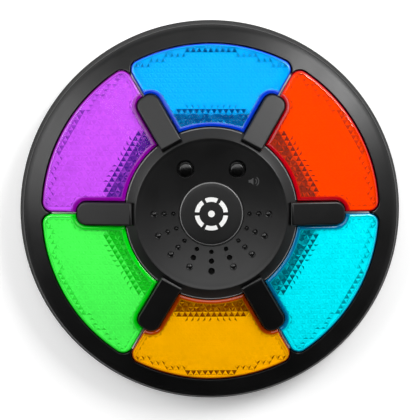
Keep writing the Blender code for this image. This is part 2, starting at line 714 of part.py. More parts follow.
def spoke_bars(name, shrink, root, low, steps):
    """Six bars under the spokes' sloping tops."""
    loops = [turned_points(spoke_outline(shrink, root, steps), SECTOR * k) for k in range(PAD_COUNT)]
    bars = plate(name, loops, low, SPOKE_ROOT_Z + OVERRUN)
    far = SPOKE_TIP_RADIUS + OVERRUN
    near = root - OVERRUN
    wide = 1 / math.cos(SECTOR / 2)
    top = [(near * wide, spoke_z(near) - shrink), (far * wide, spoke_z(far) - shrink)]
    pyramid = top + [(far * wide, low - OVERRUN), (near * wide, low - OVERRUN)]
    slope = turned(name + "_slope", pyramid, PAD_COUNT, closed=True)
    slope.rotation_euler = (0, 0, SECTOR / 2)
    combine(bars, "INTERSECT", slope)
    return helper(name + "_cut", mesh_of(bars))


def make_hub():
    """The hub with its dish and spokes, hollow below, with posts, collars and holes."""
    low = STOP_Z - OVERRUN
    hub = turned("hub_profile", hub_profile(0) + [(HUB_RADIUS, low), (0, low)], HUB_STEPS)
    combine(hub, "UNION", spoke_bars("spokes", 0, SPOKE_ROOT_RADIUS, low + OVERRUN / 2, PAD_STEPS))
    low -= OVERRUN
    inside = hub_inside() + [(HUB_RADIUS - HUB_WALL, low), (0, low)]
    combine(hub, "DIFFERENCE", turned("hub_inside", inside, HUB_STEPS))
    root = HUB_RADIUS - HUB_WALL - OVERRUN
    combine(hub, "DIFFERENCE", spoke_bars("spoke_insides", HUB_WALL, root, low - OVERRUN, HIDDEN_STEPS))
    below = [((-BODY_RADIUS, -BODY_RADIUS, 0), (BODY_RADIUS, BODY_RADIUS, STOP_Z))]
    combine(hub, "DIFFERENCE", boxes("below_hub", below))

    roof = spoke_z(POST_PLACE_RADIUS) - HUB_WALL / 2
    rows = [(x, y, BOSS_RADIUS, BOSS_Z, roof - BOSS_RADIUS * SPOKE_SLOPE) for x, y in HUB_SCREW_SPOTS]
    combine(hub, "UNION", cylinders("spoke_bosses", rows, SMALL_STEPS))
    combine(hub, "DIFFERENCE", screw_bites("spoke_bites", HUB_SCREW_SPOTS))

    for x, y in STAKE_PLACES:
        high = dish_z(math.hypot(x, y)) - HUB_WALL / 2
        rest = control_top() + FIT_GAP
        stake = [(0, high), (STAKE_POST_RADIUS, high), (STAKE_POST_RADIUS, rest), (STAKE_RADIUS, rest)]
        stake += [(STAKE_RADIUS, CONTROL_Z - FIT_GAP), (0, CONTROL_Z - FIT_GAP)]
        combine(hub, "UNION", turned("stake", stake, SMALL_STEPS, at=(x, y)))

    collar_in = SPEAKER_RADIUS + FIT_GAP
    collar_out = collar_in + SPEAKER_COLLAR_WALL
    low = speaker_top() - SPEAKER_COLLAR_DEPTH
    collar = [(collar_in, RIM_Z), (collar_out, RIM_Z), (collar_out, low), (collar_in, low)]
    ring = turned("speaker_collar", collar, SPEAKER_STEPS, closed=True, at=(0, SPEAKER_Y))
    sunk = hub_profile(HUB_WALL / 2) + [(HUB_RADIUS - HUB_WALL / 2, 0), (0, 0)]
    combine(ring, "INTERSECT", turned("collar_trim", sunk, HUB_STEPS))
    combine(hub, "UNION", helper("collar_trimmed", mesh_of(ring)))

    combine(hub, "DIFFERENCE", badge_seat())
    rows = []
    for name, angle in BUTTON_ANGLES:
        x, y = polar(BUTTON_PLACE_RADIUS, math.radians(angle))
        rows.append((x, y, BUTTON_RADIUS + BUTTON_WELL_GAP, CONTROL_Z, RIM_Z + OVERRUN))
    combine(hub, "DIFFERENCE", cylinders("button_wells", rows, ROUND_STEPS))
    through = []
    blind = []
    for ray in range(HOLE_RAYS):
        angle = math.radians(HOLE_FIRST_ANGLE + ray * HOLE_RAY_ANGLE)
        for row, (reach, radius) in enumerate(HOLE_ROWS):
            x, y = polar(reach, angle)
            if (ray, row) in OPEN_HOLES:
                through.append((x, y, radius, speaker_top(), RIM_Z))
            else:
                blind.append((x, y, radius, dish_z(reach) - DIMPLE_DEPTH, RIM_Z))
    combine(hub, "DIFFERENCE", cylinders("open_holes", through, SMALL_STEPS))
    combine(hub, "DIFFERENCE", cylinders("dimples", blind, DIMPLE_SIDES))
    piece("hub_cover", mesh_of(hub), BLACK_PLASTIC)


def badge_seat():
    """The round recess and the post hole that take the badge."""
    top = RIM_Z + OVERRUN
    edge = BADGE_SEAT_RADIUS
    floor = badge_floor_z()
    hole = BADGE_POST_RADIUS + FIT_GAP
    low = floor - HUB_WALL - OVERRUN
    profile = [(0, top), (edge, top), (edge, floor), (hole, floor), (hole, low), (0, low)]
    return turned("badge_seat", profile, HUB_STEPS)


def badge_floor_z():
    """Level of the recess under the badge."""
    return dish_z(0) - BADGE_SINK


def make_badge():
    """The plain badge in the middle of the dish, on its post."""
    low = badge_floor_z() + FIT_GAP
    edge_z = dish_z(BADGE_RADIUS) + BADGE_HEIGHT
    top = edge_z + BADGE_CROWN
    inner = BADGE_RADIUS - BADGE_EDGE
    profile = [(0, top), (inner, edge_z)]
    profile += arc((inner, edge_z - BADGE_EDGE), BADGE_EDGE, math.pi / 2, 0, 2)[1:]
    profile += [(BADGE_RADIUS, low), (BADGE_POST_RADIUS, low), (BADGE_POST_RADIUS, low - BADGE_POST_LENGTH)]
    profile.append((0, low - BADGE_POST_LENGTH))
    piece("badge_disc", mesh_of(turned("badge", profile, HUB_STEPS)), BADGE_PLASTIC)


def make_buttons():
    """Domed push buttons, each on its own axis, held under the dish by a flange."""
    for name, angle in BUTTON_ANGLES:
        x, y = polar(BUTTON_PLACE_RADIUS, math.radians(angle))
        rim = dish_z(BUTTON_PLACE_RADIUS) + BUTTON_PROUD - BUTTON_CROWN
        flange = button_flange_z()
        profile = [(0, rim + BUTTON_CROWN)]
        for across, up in arc((0, 0), 1, math.pi / 2, 0, 3)[1:]:
            profile.append((BUTTON_RADIUS * across, rim + BUTTON_CROWN * up))
        profile += [(BUTTON_RADIUS, flange), (BUTTON_FLANGE_RADIUS, flange)]
        profile += [(BUTTON_FLANGE_RADIUS, flange - BUTTON_FLANGE_THICK)]
        profile += [(BUTTON_STEM_RADIUS, flange - BUTTON_FLANGE_THICK)]
        profile += [(BUTTON_STEM_RADIUS, switch_stem_top() + FIT_GAP), (0, switch_stem_top() + FIT_GAP)]
        axis = bpy.data.objects.new(f"{name}_button_axis", None)
        axis.location = (x, y, flange)
        game.objects.link(axis)
        mesh = mesh_of(turned(f"{name}_button_shape", profile, ROUND_STEPS))
        mesh.transform(Matrix.Translation((0, 0, -flange)))
        piece(f"{name}_button", mesh, BUTTON_PLASTIC).parent = axis


def button_flange_z():
    """Top of a button's flange, clear of the dish's sloping underside."""
    return roof_z(BUTTON_PLACE_RADIUS - BUTTON_FLANGE_RADIUS) - FIT_GAP


# The control board, its parts and the speaker
def control_top():
    """Upper face of the control board."""
    return CONTROL_Z + BOARD_THICK


def switch_stem_top():
    """Top of a small push switch's stem."""
    return control_top() + FIT_GAP + SWITCH_HEIGHT + BUTTON_TRAVEL + FIT_GAP


def make_control_board():
    """The half-round board under the hub, with its switches and chip."""
    start = math.asin(CONTROL_LOW_Y / CONTROL_RADIUS)
    loops = [arc((0, 0), CONTROL_RADIUS, start, math.pi - start, ROUND_STEPS)]
    loops += [circle(place, STAKE_RADIUS + FIT_GAP, SMALL_STEPS) for place in STAKE_PLACES]
    loops.append(tail_way(*tail_spots()[1]))
    board = plate("control_board_shape", loops, CONTROL_Z, control_top())
    piece("control_board", mesh_of(board), BOARD_GREEN, smooth=False)
    half = SWITCH_SIDE / 2
    low = control_top() + FIT_GAP
    for name, angle in BUTTON_ANGLES:
        x, y = polar(BUTTON_PLACE_RADIUS, math.radians(angle))
        body = boxes(f"{name}_body", [((x - half, y - half, low), (x + half, y + half, low + SWITCH_HEIGHT))])
        stem = [(x, y, SWITCH_STEM_RADIUS, low + SWITCH_HEIGHT / 2, switch_stem_top())]
        combine(body, "UNION", cylinders(f"{name}_stem", stem, SMALL_STEPS))
        piece(f"{name}_switch", mesh_of(body), CHIP_BLACK)
    chip_y = CONTROL_LOW_Y + CHIP_WIDTH
    corner = (-CHIP_LENGTH / 2, chip_y - CHIP_WIDTH / 2, low)
    far = (CHIP_LENGTH / 2, chip_y + CHIP_WIDTH / 2, low + CHIP_THICK)
    piece("control_chip", mesh_of(boxes("chip_body", [(corner, far)])), CHIP_BLACK, smooth=False)


def speaker_top():
    """Upper face of the speaker's flange, under the hub's level roof."""
    return roof_z(0) - FIT_GAP


def make_speaker():
    """A small speaker with its frame, cone and magnet."""
    spot = (0, SPEAKER_Y)
    top = speaker_top()
    low = top - SPEAKER_FLANGE_THICK
    deep = low - SPEAKER_BASKET_DEPTH
    throat = SPEAKER_MAGNET_RADIUS - 2 * SPEAKER_FLANGE_THICK
    inner = SPEAKER_RADIUS - SPEAKER_FLANGE_THICK
    frame = [(inner, top), (SPEAKER_RADIUS, top), (SPEAKER_RADIUS, low)]
    frame += [(SPEAKER_BASKET_RADIUS, deep), (throat, deep), (throat, deep + SPEAKER_FLANGE_THICK / 2)]
    frame += [(SPEAKER_BASKET_RADIUS - SPEAKER_FLANGE_THICK / 2, deep + SPEAKER_FLANGE_THICK / 2)]
    frame += [(inner, low)]
    made = turned("speaker_frame_profile", frame, SPEAKER_STEPS, closed=True, at=spot)
    piece("speaker_frame", mesh_of(made), STEEL)
    edge = inner - FIT_GAP
    rest = low + FIT_GAP
    cone = [(0, rest - SPEAKER_FLANGE_THICK), (throat, rest - SPEAKER_FLANGE_THICK), (edge, top - FIT_GAP)]
    cone += [(edge, rest), (throat, rest - 2 * SPEAKER_FLANGE_THICK), (0, rest - 2 * SPEAKER_FLANGE_THICK)]
    made = turned("speaker_cone_profile", cone, SPEAKER_STEPS, at=spot)
    piece("speaker_cone", mesh_of(made), CONE_PAPER)
    magnet_top = deep - FIT_GAP
    magnet_low = magnet_top - SPEAKER_MAGNET_THICK
    magnet = [(0, magnet_top), (SPEAKER_MAGNET_RADIUS, magnet_top), (SPEAKER_MAGNET_RADIUS, magnet_low)]
    magnet.append((0, magnet_low))
    made = turned("speaker_magnet_profile", magnet, SPEAKER_STEPS, at=spot)
    piece("speaker_magnet", mesh_of(made), STEEL)


# The pads
def make_lens_mesh():
    """A pad's moulded lens: sloping roof, skirt, retaining flange and the two lugs over its domes."""
    low = FLANGE_Z
    reach = PAD_OUTER_RADIUS + PAD_CORNER_RADIUS
    near = PAD_INNER_RADIUS - PAD_CORNER_RADIUS
    top = [(near, pad_z(near)), (reach, pad_z(reach)), (reach, low - OVERRUN), (near, low - OVERRUN)]
    high = PAD_INNER_Z + OVERRUN
    lens = plate("lens_block", [pad_outline(0, PAD_STEPS)], low + FLANGE_THICK / 2, high)
    combine(lens, "INTERSECT", turned("lens_slope", top, LENS_STEPS, closed=True))
    lens = helper("lens_cut", mesh_of(lens))
    bevel = lens.modifiers.new("edges", "BEVEL")
    bevel.width = PAD_EDGE_ROUND
    bevel.segments = 1
    bevel.limit_method = "ANGLE"
    bevel.angle_limit = math.radians(60)
    lens = helper("lens_edged", mesh_of(lens))

    combine(lens, "UNION", plate("lens_flange", [pad_outline(FLANGE_REACH, HIDDEN_STEPS)], low, FLANGE_TOP_Z))
    inside = plate("lens_inside", [pad_outline(-LENS_WALL, HIDDEN_STEPS)], low - OVERRUN / 2, high)
    roof = [(r, z if z < low else z - LENS_ROOF) for r, z in top]
    combine(inside, "INTERSECT", turned("lens_roof", roof, LENS_STEPS, closed=True))
    lugs = []
    for side in (-1, 1):
        x, y = dome_spot(side)
        half = DOME_TOP_RADIUS + OVERRUN
        top_y = pad_wall_y() + LENS_WALL
        lug = [(x + half, top_y), (x - half, top_y)] + arc((x, y), half, math.pi, 2 * math.pi, 4)
        lugs.append(lug)
    combine(inside, "DIFFERENCE", plate("lens_lugs", lugs, low - OVERRUN, FLANGE_TOP_Z))
    combine(lens, "DIFFERENCE", helper("lens_hollow", mesh_of(inside)))
    return mesh_of(lens)


def pad_wall_y():
    """Inner face of a pad's outer wall, beside a dome."""
    radius = PAD_OUTER_RADIUS - LENS_WALL
    return math.sqrt(radius * radius - DOME_SPREAD * DOME_SPREAD)


def dome_spot(side):
    """Centre of one of a pad's two domes, in the frame of the pad at +Y."""
    return (side * DOME_SPREAD, pad_wall_y() - DOME_REACH)


def make_diffuser_mesh():
    """The white plate inside a pad, which follows its roof and ends in a straight chord."""
    grow = -LENS_WALL - FIT_GAP
    reach = PAD_OUTER_RADIUS
    near = PAD_INNER_RADIUS - PAD_CORNER_RADIUS
    drop = LENS_ROOF + FIT_GAP
    sheet = [(near, pad_z(near) - drop), (reach, pad_z(reach) - drop)]
    sheet += [(reach, pad_z(reach) - drop - DIFFUSER_THICK), (near, pad_z(near) - drop - DIFFUSER_THICK)]
    made = plate("diffuser_block", [pad_outline(grow, HIDDEN_STEPS)], FLANGE_Z, PAD_INNER_Z)
    combine(made, "INTERSECT", turned("diffuser_slope", sheet, LENS_STEPS, closed=True))
    corner = (-PAD_OUTER_RADIUS, 0, 0)
    chord = boxes("diffuser_chord", [(corner, (PAD_OUTER_RADIUS, DIFFUSER_CHORD, 2 * PAD_INNER_Z))])
    combine(made, "DIFFERENCE", chord)
    return mesh_of(made)


def make_dome_mesh():
    """Two silicone spring domes on one web."""
    web_top = DOME_Z + DOME_SKIRT
    x, y = dome_spot(1)
    web = plate(
        "dome_web",
        [rectangle(-x, y - DOME_WEB_HALF, x, y + DOME_WEB_HALF)],
        DOME_Z,
        web_top,
    )
    for side in (-1, 1):
        profile = [(0, DOME_TOP_Z), (DOME_TOP_RADIUS, DOME_TOP_Z), (DOME_RADIUS - DOME_SKIRT, web_top)]
        profile += [(DOME_RADIUS, web_top), (DOME_RADIUS, DOME_Z), (0, DOME_Z)]
        combine(web, "UNION", turned(f"dome_{side}", profile, SMALL_STEPS, at=dome_spot(side)))
    return mesh_of(web)


def make_pads():
    """Six pads, each with its lens and diffuser on the pad's own axis, and its domes and light."""
    home = Matrix.Translation((0, PAD_MIDDLE_RADIUS, FLANGE_Z))
    lens = make_lens_mesh()
    diffuser = make_diffuser_mesh()
    domes = make_dome_mesh()
    light = make_led_mesh()
    for mesh in (lens, diffuser):
        mesh.transform(home.inverted())
    for mesh, colour in ((diffuser, WHITE_PLASTIC), (domes, SILICONE), (light, LED_CLEAR)):
        mesh.materials.append(colour)
    for k, (name, colour) in enumerate(PAD_COLOURS):
        turn = Matrix.Rotation(-k * SECTOR, 4, "Z")
        axis = bpy.data.objects.new(f"pad_{name}_axis", None)
        axis.matrix_world = turn @ home
        game.objects.link(axis)
        shell = piece(f"lens_{name}", lens.copy(), paint(f"lens_{name}", colour, 0.15))
        shell.parent = axis
        piece(f"diffuser_{name}", diffuser, WHITE_PLASTIC).parent = axis
        piece(f"dome_pad_{name}", domes, SILICONE).matrix_world = turn
        piece(f"led_{name}", light, LED_CLEAR).matrix_world = turn


def make_led_mesh():
    """A round-topped light on the board."""
    low = BOARD_TOP_Z + FIT_GAP
    shoulder = low + LED_HEIGHT - LED_RADIUS
    profile = [(0, shoulder + LED_RADIUS)]
    profile += arc((0, shoulder), LED_RADIUS, math.pi / 2, 0, 3)[1:]
    profile.append((LED_RADIUS, low))
    profile.append((0, low))
    return mesh_of(turned("light", profile, SMALL_STEPS, at=(0, LED_PLACE_RADIUS)))


# The switch board and the light divider
def make_switch_board():
    """The ring-shaped board under the pads, with holes for the posts."""
    loops = [circle((0, 0), BOARD_OUTER_RADIUS, PLATE_STEPS), circle((0, 0), BOARD_INNER_RADIUS, RING_STEPS)]
    loops += [circle(spot, POST_RADIUS + FIT_GAP, SMALL_STEPS) for spot in HUB_SCREW_SPOTS]
    board = plate("switch_board_shape", loops, BOARD_Z, BOARD_TOP_Z)
    piece("switch_board", mesh_of(board), BOARD_GREEN, smooth=False)


def dome_opening():
    """The opening of the divider round one pad's domes, in the frame of the pad at +Y."""
    x, y = dome_spot(1)
    half = (DOME_RADIUS + FIT_GAP) / math.cos(math.pi / (2 * PAD_STEPS))
    quarter = math.pi / 2
    right = arc((x, y), half, -quarter, quarter, PAD_STEPS)
    return right + arc((-x, y), half, quarter, 3 * quarter, PAD_STEPS)


def make_light_divider():
    """The white plate over the board, with a thin rib up each gap between two pads."""
    loops = [circle((0, 0), BOARD_OUTER_RADIUS, PLATE_STEPS)]
    loops.append(circle((0, 0), DIVIDER_INNER_RADIUS, RING_STEPS))
    loops += [circle(spot, POST_RADIUS + FIT_GAP, SMALL_STEPS) for spot in HUB_SCREW_SPOTS]
    ribs = []
    for k in range(PAD_COUNT):
        loops.append(turned_points(dome_opening(), k * SECTOR))
        hole = circle((0, LED_PLACE_RADIUS), LED_RADIUS + LED_HOLE_GAP, SMALL_STEPS)
        loops.append(turned_points(hole, k * SECTOR))
        start = SPOKE_TIP_RADIUS + PAD_CLEARANCE
        end = CUSP_RADIUS + PAD_CORNER_RADIUS
        rib = rectangle(start, -DIVIDER_RIB_HALF, end, DIVIDER_RIB_HALF)
        ribs.append(turned_points(rib, k * SECTOR))
    divider = plate("divider_plate", loops, DIVIDER_Z, DIVIDER_TOP_Z)
    combine(divider, "UNION", plate("divider_ribs", ribs, DIVIDER_Z + DIVIDER_THICK / 2, DIVIDER_RIB_Z))
    piece("light_divider", mesh_of(divider), WHITE_PLASTIC, smooth=False)


# The battery bay
def door_outline(grow):
    """The battery door's outline, grown all round, square at the end that swings in the opening."""
    x = BAY_HALF_LENGTH + DOOR_LEDGE + grow
    y = BAY_HALF_WIDTH + DOOR_LEDGE + grow
    radius = DOOR_CORNER + grow
    quarter = math.pi / 2
    made = [(x, y), (-x, y)]
    made += arc((radius - x, radius - y), radius, 2 * quarter, 3 * quarter, 3)
    made += arc((x - radius, radius - y), radius, 3 * quarter, 4 * quarter, 3)
    return made


def latch_box(grow, low, high):
    """The latch tongue beyond the door's edge at -Y."""
    half = LATCH_HALF_WIDTH + grow
    edge = -BAY_HALF_WIDTH - DOOR_LEDGE
    return (-half, edge - LATCH_REACH - grow, low), (half, edge + OVERRUN, high)


def tab_spots():
    """Low and high X of the door's two tabs."""
    half = DOOR_TAB_WIDTH / 2
    return [(side * DOOR_TAB_SPREAD - half, side * DOOR_TAB_SPREAD + half) for side in (-1, 1)]


def tab_slots():
    """The room in the bay's wall for the door's tabs, at rest and when the door swings."""
    high = FLOOR_TOP_Z + DOOR_TAB_THICK + DOOR_TAB_REACH + 2 * FIT_GAP
    made = []
    for low_x, high_x in tab_spots():
        corner = (low_x - FIT_GAP, BAY_HALF_WIDTH - OVERRUN, FLOOR_TOP_Z)
        far = (high_x + FIT_GAP, BAY_HALF_WIDTH + BAY_WALL + OVERRUN, high)
        made.append((corner, far))
    return made


def make_door():
    """The battery door with two tabs, a latch tongue and a bevelled edge that lets it swing."""
    door = plate("door_plate", [door_outline(0)], BASE_Z, FLOOR_TOP_Z)
    edge = BAY_HALF_WIDTH + DOOR_LEDGE
    size = 2 * FLOOR_WALL
    wedge = boxes("door_wedge", [((-BODY_RADIUS, -size, -size), (BODY_RADIUS, size, size))])
    tilt = Matrix.Rotation(math.pi / 4, 4, "X")
    wedge.matrix_world = Matrix.Translation((0, edge, FLOOR_TOP_Z)) @ tilt @ Matrix.Translation((0, 0, -size))
    combine(door, "DIFFERENCE", wedge)
    tongue = latch_box(0, BASE_Z + FIT_GAP, FLOOR_TOP_Z - FIT_GAP)
    combine(door, "UNION", boxes("latch_tongue", [tongue]))
    risers = []
    tabs = []
    low = FLOOR_TOP_Z + FIT_GAP
    high = low + DOOR_TAB_THICK
    near = BAY_HALF_WIDTH - DOOR_TAB_REACH
    for low_x, high_x in tab_spots():
        corner = (low_x + FIT_GAP, near + FIT_GAP, FLOOR_TOP_Z - FLOOR_WALL / 2)
        risers.append((corner, (high_x - FIT_GAP, BAY_HALF_WIDTH - FIT_GAP, high - FIT_GAP)))
        tabs.append(((low_x, near, low), (high_x, edge + DOOR_TAB_REACH, high)))
    combine(door, "UNION", boxes("door_risers", risers))
    combine(door, "UNION", boxes("door_tabs", tabs))
    axis = bpy.data.objects.new("battery_door_axis", None)
    axis.location = door_axis()
    game.objects.link(axis)
    mesh = mesh_of(door)
    mesh.transform(Matrix.Translation([-v for v in door_axis()]))
    piece("battery_door", mesh, BLACK_PLASTIC, smooth=False).parent = axis


def door_axis():
    """A point on the line that the battery door swings about."""
    return (0, BAY_HALF_WIDTH + DOOR_LEDGE + FIT_GAP / 2, FLOOR_TOP_Z + FIT_GAP / 2)


def cell_rows():
    """Names, Y and direction of the cells, each turned end for end to its neighbour."""
    names = ("battery_front", "battery_middle", "battery_rear")
    first = -(CELL_COUNT - 1) / 2 * CELL_PITCH
    return [(name, first + k * CELL_PITCH, (-1) ** k) for k, name in enumerate(names)]


def make_cells():
    """Round cells lying along X, with a raised button at the positive end."""
    for name, y, way in cell_rows():
        half = (CELL_LENGTH + CELL_BUTTON_LENGTH) / 2
        shoulder = half - CELL_BUTTON_LENGTH
        profile = [(0, half), (CELL_BUTTON_RADIUS, half), (CELL_BUTTON_RADIUS, shoulder)]
        profile += [(CELL_RADIUS, shoulder), (CELL_RADIUS, -half), (0, -half)]
        mesh = mesh_of(turned(name + "_profile", profile, ROUND_STEPS))
        cell = piece(name, mesh, CELL_SLEEVE)
        cell.rotation_euler = (0, way * math.pi / 2, 0)
        cell.location = (0, y, CELL_Z)


def tail_spots():
    """End of the bay and Y of the two contacts whose tails rise to the control board."""
    rows = cell_rows()
    return [(1, rows[0][1]), (-rows[-1][2], rows[-1][1])]


def tail_way(side, y):
    """Outline of the slot that a contact's tail passes through."""
    near = BAY_HALF_LENGTH - 2 * FIT_GAP - CONTACT_THICK
    x_range = sorted((side * near, side * BAY_HALF_LENGTH))
    half = TAIL_WIDTH / 2 + FIT_GAP
    return rectangle(x_range[0], y - half, x_range[1], y + half)


def make_contacts():
    """Sprung contact plates at both ends of the bay, two of them bridging two cells."""
    rows = cell_rows()
    far = BAY_HALF_LENGTH - FIT_GAP
    near = far - CONTACT_THICK
    half = CONTACT_WIDTH / 2
    low = CELL_Z - half
    high = CELL_Z + half
    plans = (
        ("contact_positive", 1, (rows[0][1],), BAY_TOP_Z + 2 * LEAD_RADIUS),
        ("contact_bridge_front", -1, (rows[0][1], rows[1][1]), 0),
        ("contact_bridge_rear", 1, (rows[1][1], rows[2][1]), 0),
        ("contact_negative", -1, (rows[2][1],), control_top() + OVERRUN),
    )
    for name, side, places, tail_top in plans:
        x_range = sorted((side * near, side * far))
        first = min(places) - half
        last = max(places) + half
        made = boxes(name + "_plate", [((x_range[0], first, low), (x_range[1], last, high))])
        if tail_top:
            y = places[0]
            corner = (x_range[0], y - TAIL_WIDTH / 2, high - TAIL_WIDTH)
            tail = boxes(name + "_tail", [(corner, (x_range[1], y + TAIL_WIDTH / 2, tail_top))])
            combine(made, "UNION", tail)
        nubs = boxes(name + "_nubs", nub_rows(side, near, places))
        combine(made, "UNION", nubs)
        piece(name, mesh_of(made), STEEL, smooth=False)


def nub_rows(side, near, places):
    """The raised nubs that press on the cells."""
    made = []
    half = CONTACT_NUB_RADIUS
    for y in places:
        x_range = sorted((side * (near + CONTACT_THICK / 2), side * (near - CONTACT_NUB)))
        made.append(((x_range[0], y - half, CELL_Z - half), (x_range[1], y + half, CELL_Z + half)))
    return made


# Wires
def smooth_route(points, steps):
    """Points along a smooth curve through a route's own points."""
    ends = [points[0]] + points + [points[-1]]
    made = []
    for k in range(1, len(ends) - 2):
        before, start, end, after = ends[k - 1 : k + 3]
        for step in range(steps):
            t = step / steps
            spot = []
            for a, b, c, d in zip(before, start, end, after):
                slope = (c - a) / 2
                next_slope = (d - b) / 2
                bend = 3 * (c - b) - 2 * slope - next_slope
                last = 2 * (b - c) + slope + next_slope
                spot.append(b + slope * t + bend * t * t + last * t * t * t)
            made.append(tuple(spot))
    return made + [points[-1]]


def make_wires():
    """The leads over the bay, and the cable down from one board to the other."""
    level = BAY_TOP_Z + LEAD_RADIUS + FIT_GAP
    edge = SPEAKER_Y + SPEAKER_RADIUS + LEAD_RADIUS
    lead = [
        (-SPEAKER_MAGNET_RADIUS, edge, level),
        (-SPEAKER_MAGNET_RADIUS, edge / 2, level),
        (-CHIP_LENGTH, CONTROL_LOW_Y / 2, level),
        (-CHIP_LENGTH, CONTROL_LOW_Y + CHIP_WIDTH, level),
    ]
    tube("speaker_lead", smooth_route(lead, 3), LEAD_RADIUS, WIRE_SLEEVE)
    side, y = tail_spots()[0]
    x = side * (BAY_HALF_LENGTH - 2 * FIT_GAP - CONTACT_THICK - LEAD_RADIUS)
    tube("battery_lead", [(x, y, level), (x, CONTROL_LOW_Y + CHIP_WIDTH, level)], LEAD_RADIUS, WIRE_SLEEVE)
    across = CHIP_WIDTH
    high = CONTROL_Z - FIT_GAP - CABLE_RADIUS
    low = BOARD_TOP_Z + FIT_GAP + CABLE_RADIUS
    wall = BAY_HALF_WIDTH + BAY_WALL
    land = BOARD_INNER_RADIUS
    cable = [
        (across, wall + CABLE_RADIUS, high),
        (across, wall + (land - wall) * CABLE_SHARES[0], high),
        (across, wall + (land - wall) * CABLE_SHARES[1], (high + low) / 2),
        (across, land - CABLE_RADIUS, low),
        (across, land + 2 * CABLE_RADIUS, low),
    ]
    tube("board_cable", smooth_route(cable, 3), CABLE_RADIUS, CABLE_SLEEVE)


make_base()
make_bezel()
make_feet()
make_case_screws()
make_hub()
make_badge()
make_buttons()
make_control_board()
make_speaker()
make_pads()
make_switch_board()
make_light_divider()
make_door()
make_cells()
make_contacts()
make_wires()
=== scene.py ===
import random
from math import asin, atan, atan2, cos, hypot, pi, radians, sin, sqrt, tan

import bmesh
import bpy
from mathutils import Matrix, Vector
from mathutils.geometry import delaunay_2d_cdt


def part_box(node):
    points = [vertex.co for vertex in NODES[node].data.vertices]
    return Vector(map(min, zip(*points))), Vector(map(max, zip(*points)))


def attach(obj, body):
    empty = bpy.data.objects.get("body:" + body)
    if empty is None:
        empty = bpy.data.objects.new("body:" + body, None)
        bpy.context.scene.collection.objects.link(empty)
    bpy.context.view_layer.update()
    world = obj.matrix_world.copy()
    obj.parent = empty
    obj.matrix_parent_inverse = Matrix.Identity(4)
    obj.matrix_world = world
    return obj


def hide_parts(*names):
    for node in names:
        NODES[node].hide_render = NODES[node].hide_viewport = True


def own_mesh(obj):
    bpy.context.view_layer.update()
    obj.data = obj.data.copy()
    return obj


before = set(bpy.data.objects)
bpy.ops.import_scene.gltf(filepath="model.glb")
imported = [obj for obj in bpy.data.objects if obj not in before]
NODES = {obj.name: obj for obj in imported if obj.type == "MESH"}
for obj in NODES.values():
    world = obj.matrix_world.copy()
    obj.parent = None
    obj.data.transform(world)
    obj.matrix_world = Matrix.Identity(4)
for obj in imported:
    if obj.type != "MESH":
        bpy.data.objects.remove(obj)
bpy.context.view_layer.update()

# Sizes of the part, in millimetres: the casing
MM = 0.001
BODY_RADIUS = 110.0
BEZEL_TOP_RADIUS = 107.5
BEZEL_EDGE_ROUND = 1.1
BEZEL_SHOULDER_Z = 19.8
BEZEL_SLOPE = 4.2 / 11.2
BEZEL_WALL = 2.0
BEZEL_LIP = 0.45
WELL_RIB = 1.6
PART_LINE_Z = 9.5
STOP_Z = 15.5
FIT_GAP = 0.3

# The pads
PAD_OUTER = 96.3
PAD_INNER = 49.5
PAD_OUTER_Z = 25.0
PAD_SLOPE = 8.0 / 46.8
PAD_CORNER = 5.5
PAD_HALF_GAP = 0.65
PAD_CLEARANCE = 0.6
LENS_ROOF = 2.0
LENS_WALL = 1.6
FLANGE_Z = 13.7
FLANGE_THICK = 1.5
CUSP_HALF = 0.25
DOME_BASE_Z = 9.9
DOME_SPREAD = 20.0
DOME_WALL = sqrt((PAD_OUTER - LENS_WALL) ** 2 - DOME_SPREAD ** 2)
DOME_Y = DOME_WALL - 6.5
LUG_RADIUS = 3.1

# The hub, its spokes, the badge and the buttons
HUB_RADIUS = 48.9
HUB_EDGE_Z = 33.0
RIM_RADIUS = 42.4
RIM_LAND = 0.9
RIM_Z = 37.8
DISH_DEPTH = 4.2
HUB_WALL = 1.8
HUB_BEAD = 0.4
SPOKE_HALF = 6.5
SPOKE_TIP = 76.3
SPOKE_ROOT = 44.8
ROOT_ROUND = 1.9
SPOKE_CORNER = 5.4
SPOKE_ROOT_Z = 38.6
SPOKE_SLOPE = 7.8 / 31.5
BADGE_RADIUS = 18.0
BADGE_EDGE = 0.8
BADGE_THICK = 1.6
BADGE_CROWN = 0.2
SEAT_RADIUS = BADGE_RADIUS + 0.5
SEAT_Z = RIM_Z - DISH_DEPTH - 0.9
BUTTON_PLACE = 29.0
BUTTON_RADIUS = 4.0
BUTTON_FLANGE = 5.6
WELL_GAP = 0.8

# Names and counts
SECTOR = pi / 3
PAD_NAMES = ("blue", "red", "cyan", "orange", "green", "purple")
BUTTONS = (("power", 120), ("volume", 60))
SCREWS = range(1, 7)
FEET = range(1, 5)
ROUND = 192


# Small maths
def clamp(value):
    return min(max(value, 0), 1)


def polar(radius, angle):
    return (radius * cos(angle), radius * sin(angle))


def arc(centre, radius, start, end, steps):
    """Points along an arc, both ends included."""
    made = []
    for k in range(steps + 1):
        x, y = polar(radius, start + (end - start) * k / steps)
        made.append((centre[0] + x, centre[1] + y))
    return made


def spin(points, angle):
    """Points turned about the part's axis."""
    c, s = cos(angle), sin(angle)
    return [(x * c - y * s, x * s + y * c) for x, y in points]


# Levels of the upper surfaces at a radius
def bezel_z(radius):
    return BEZEL_SHOULDER_Z + BEZEL_EDGE_ROUND + (BEZEL_TOP_RADIUS - radius) * BEZEL_SLOPE


def pad_z(radius):
    return PAD_OUTER_Z + (PAD_OUTER - radius) * PAD_SLOPE


def spoke_z(radius):
    return SPOKE_ROOT_Z - (radius - SPOKE_ROOT) * SPOKE_SLOPE


def dish_z(radius):
    return RIM_Z - DISH_DEPTH * (1 - (radius / RIM_RADIUS) ** 2)


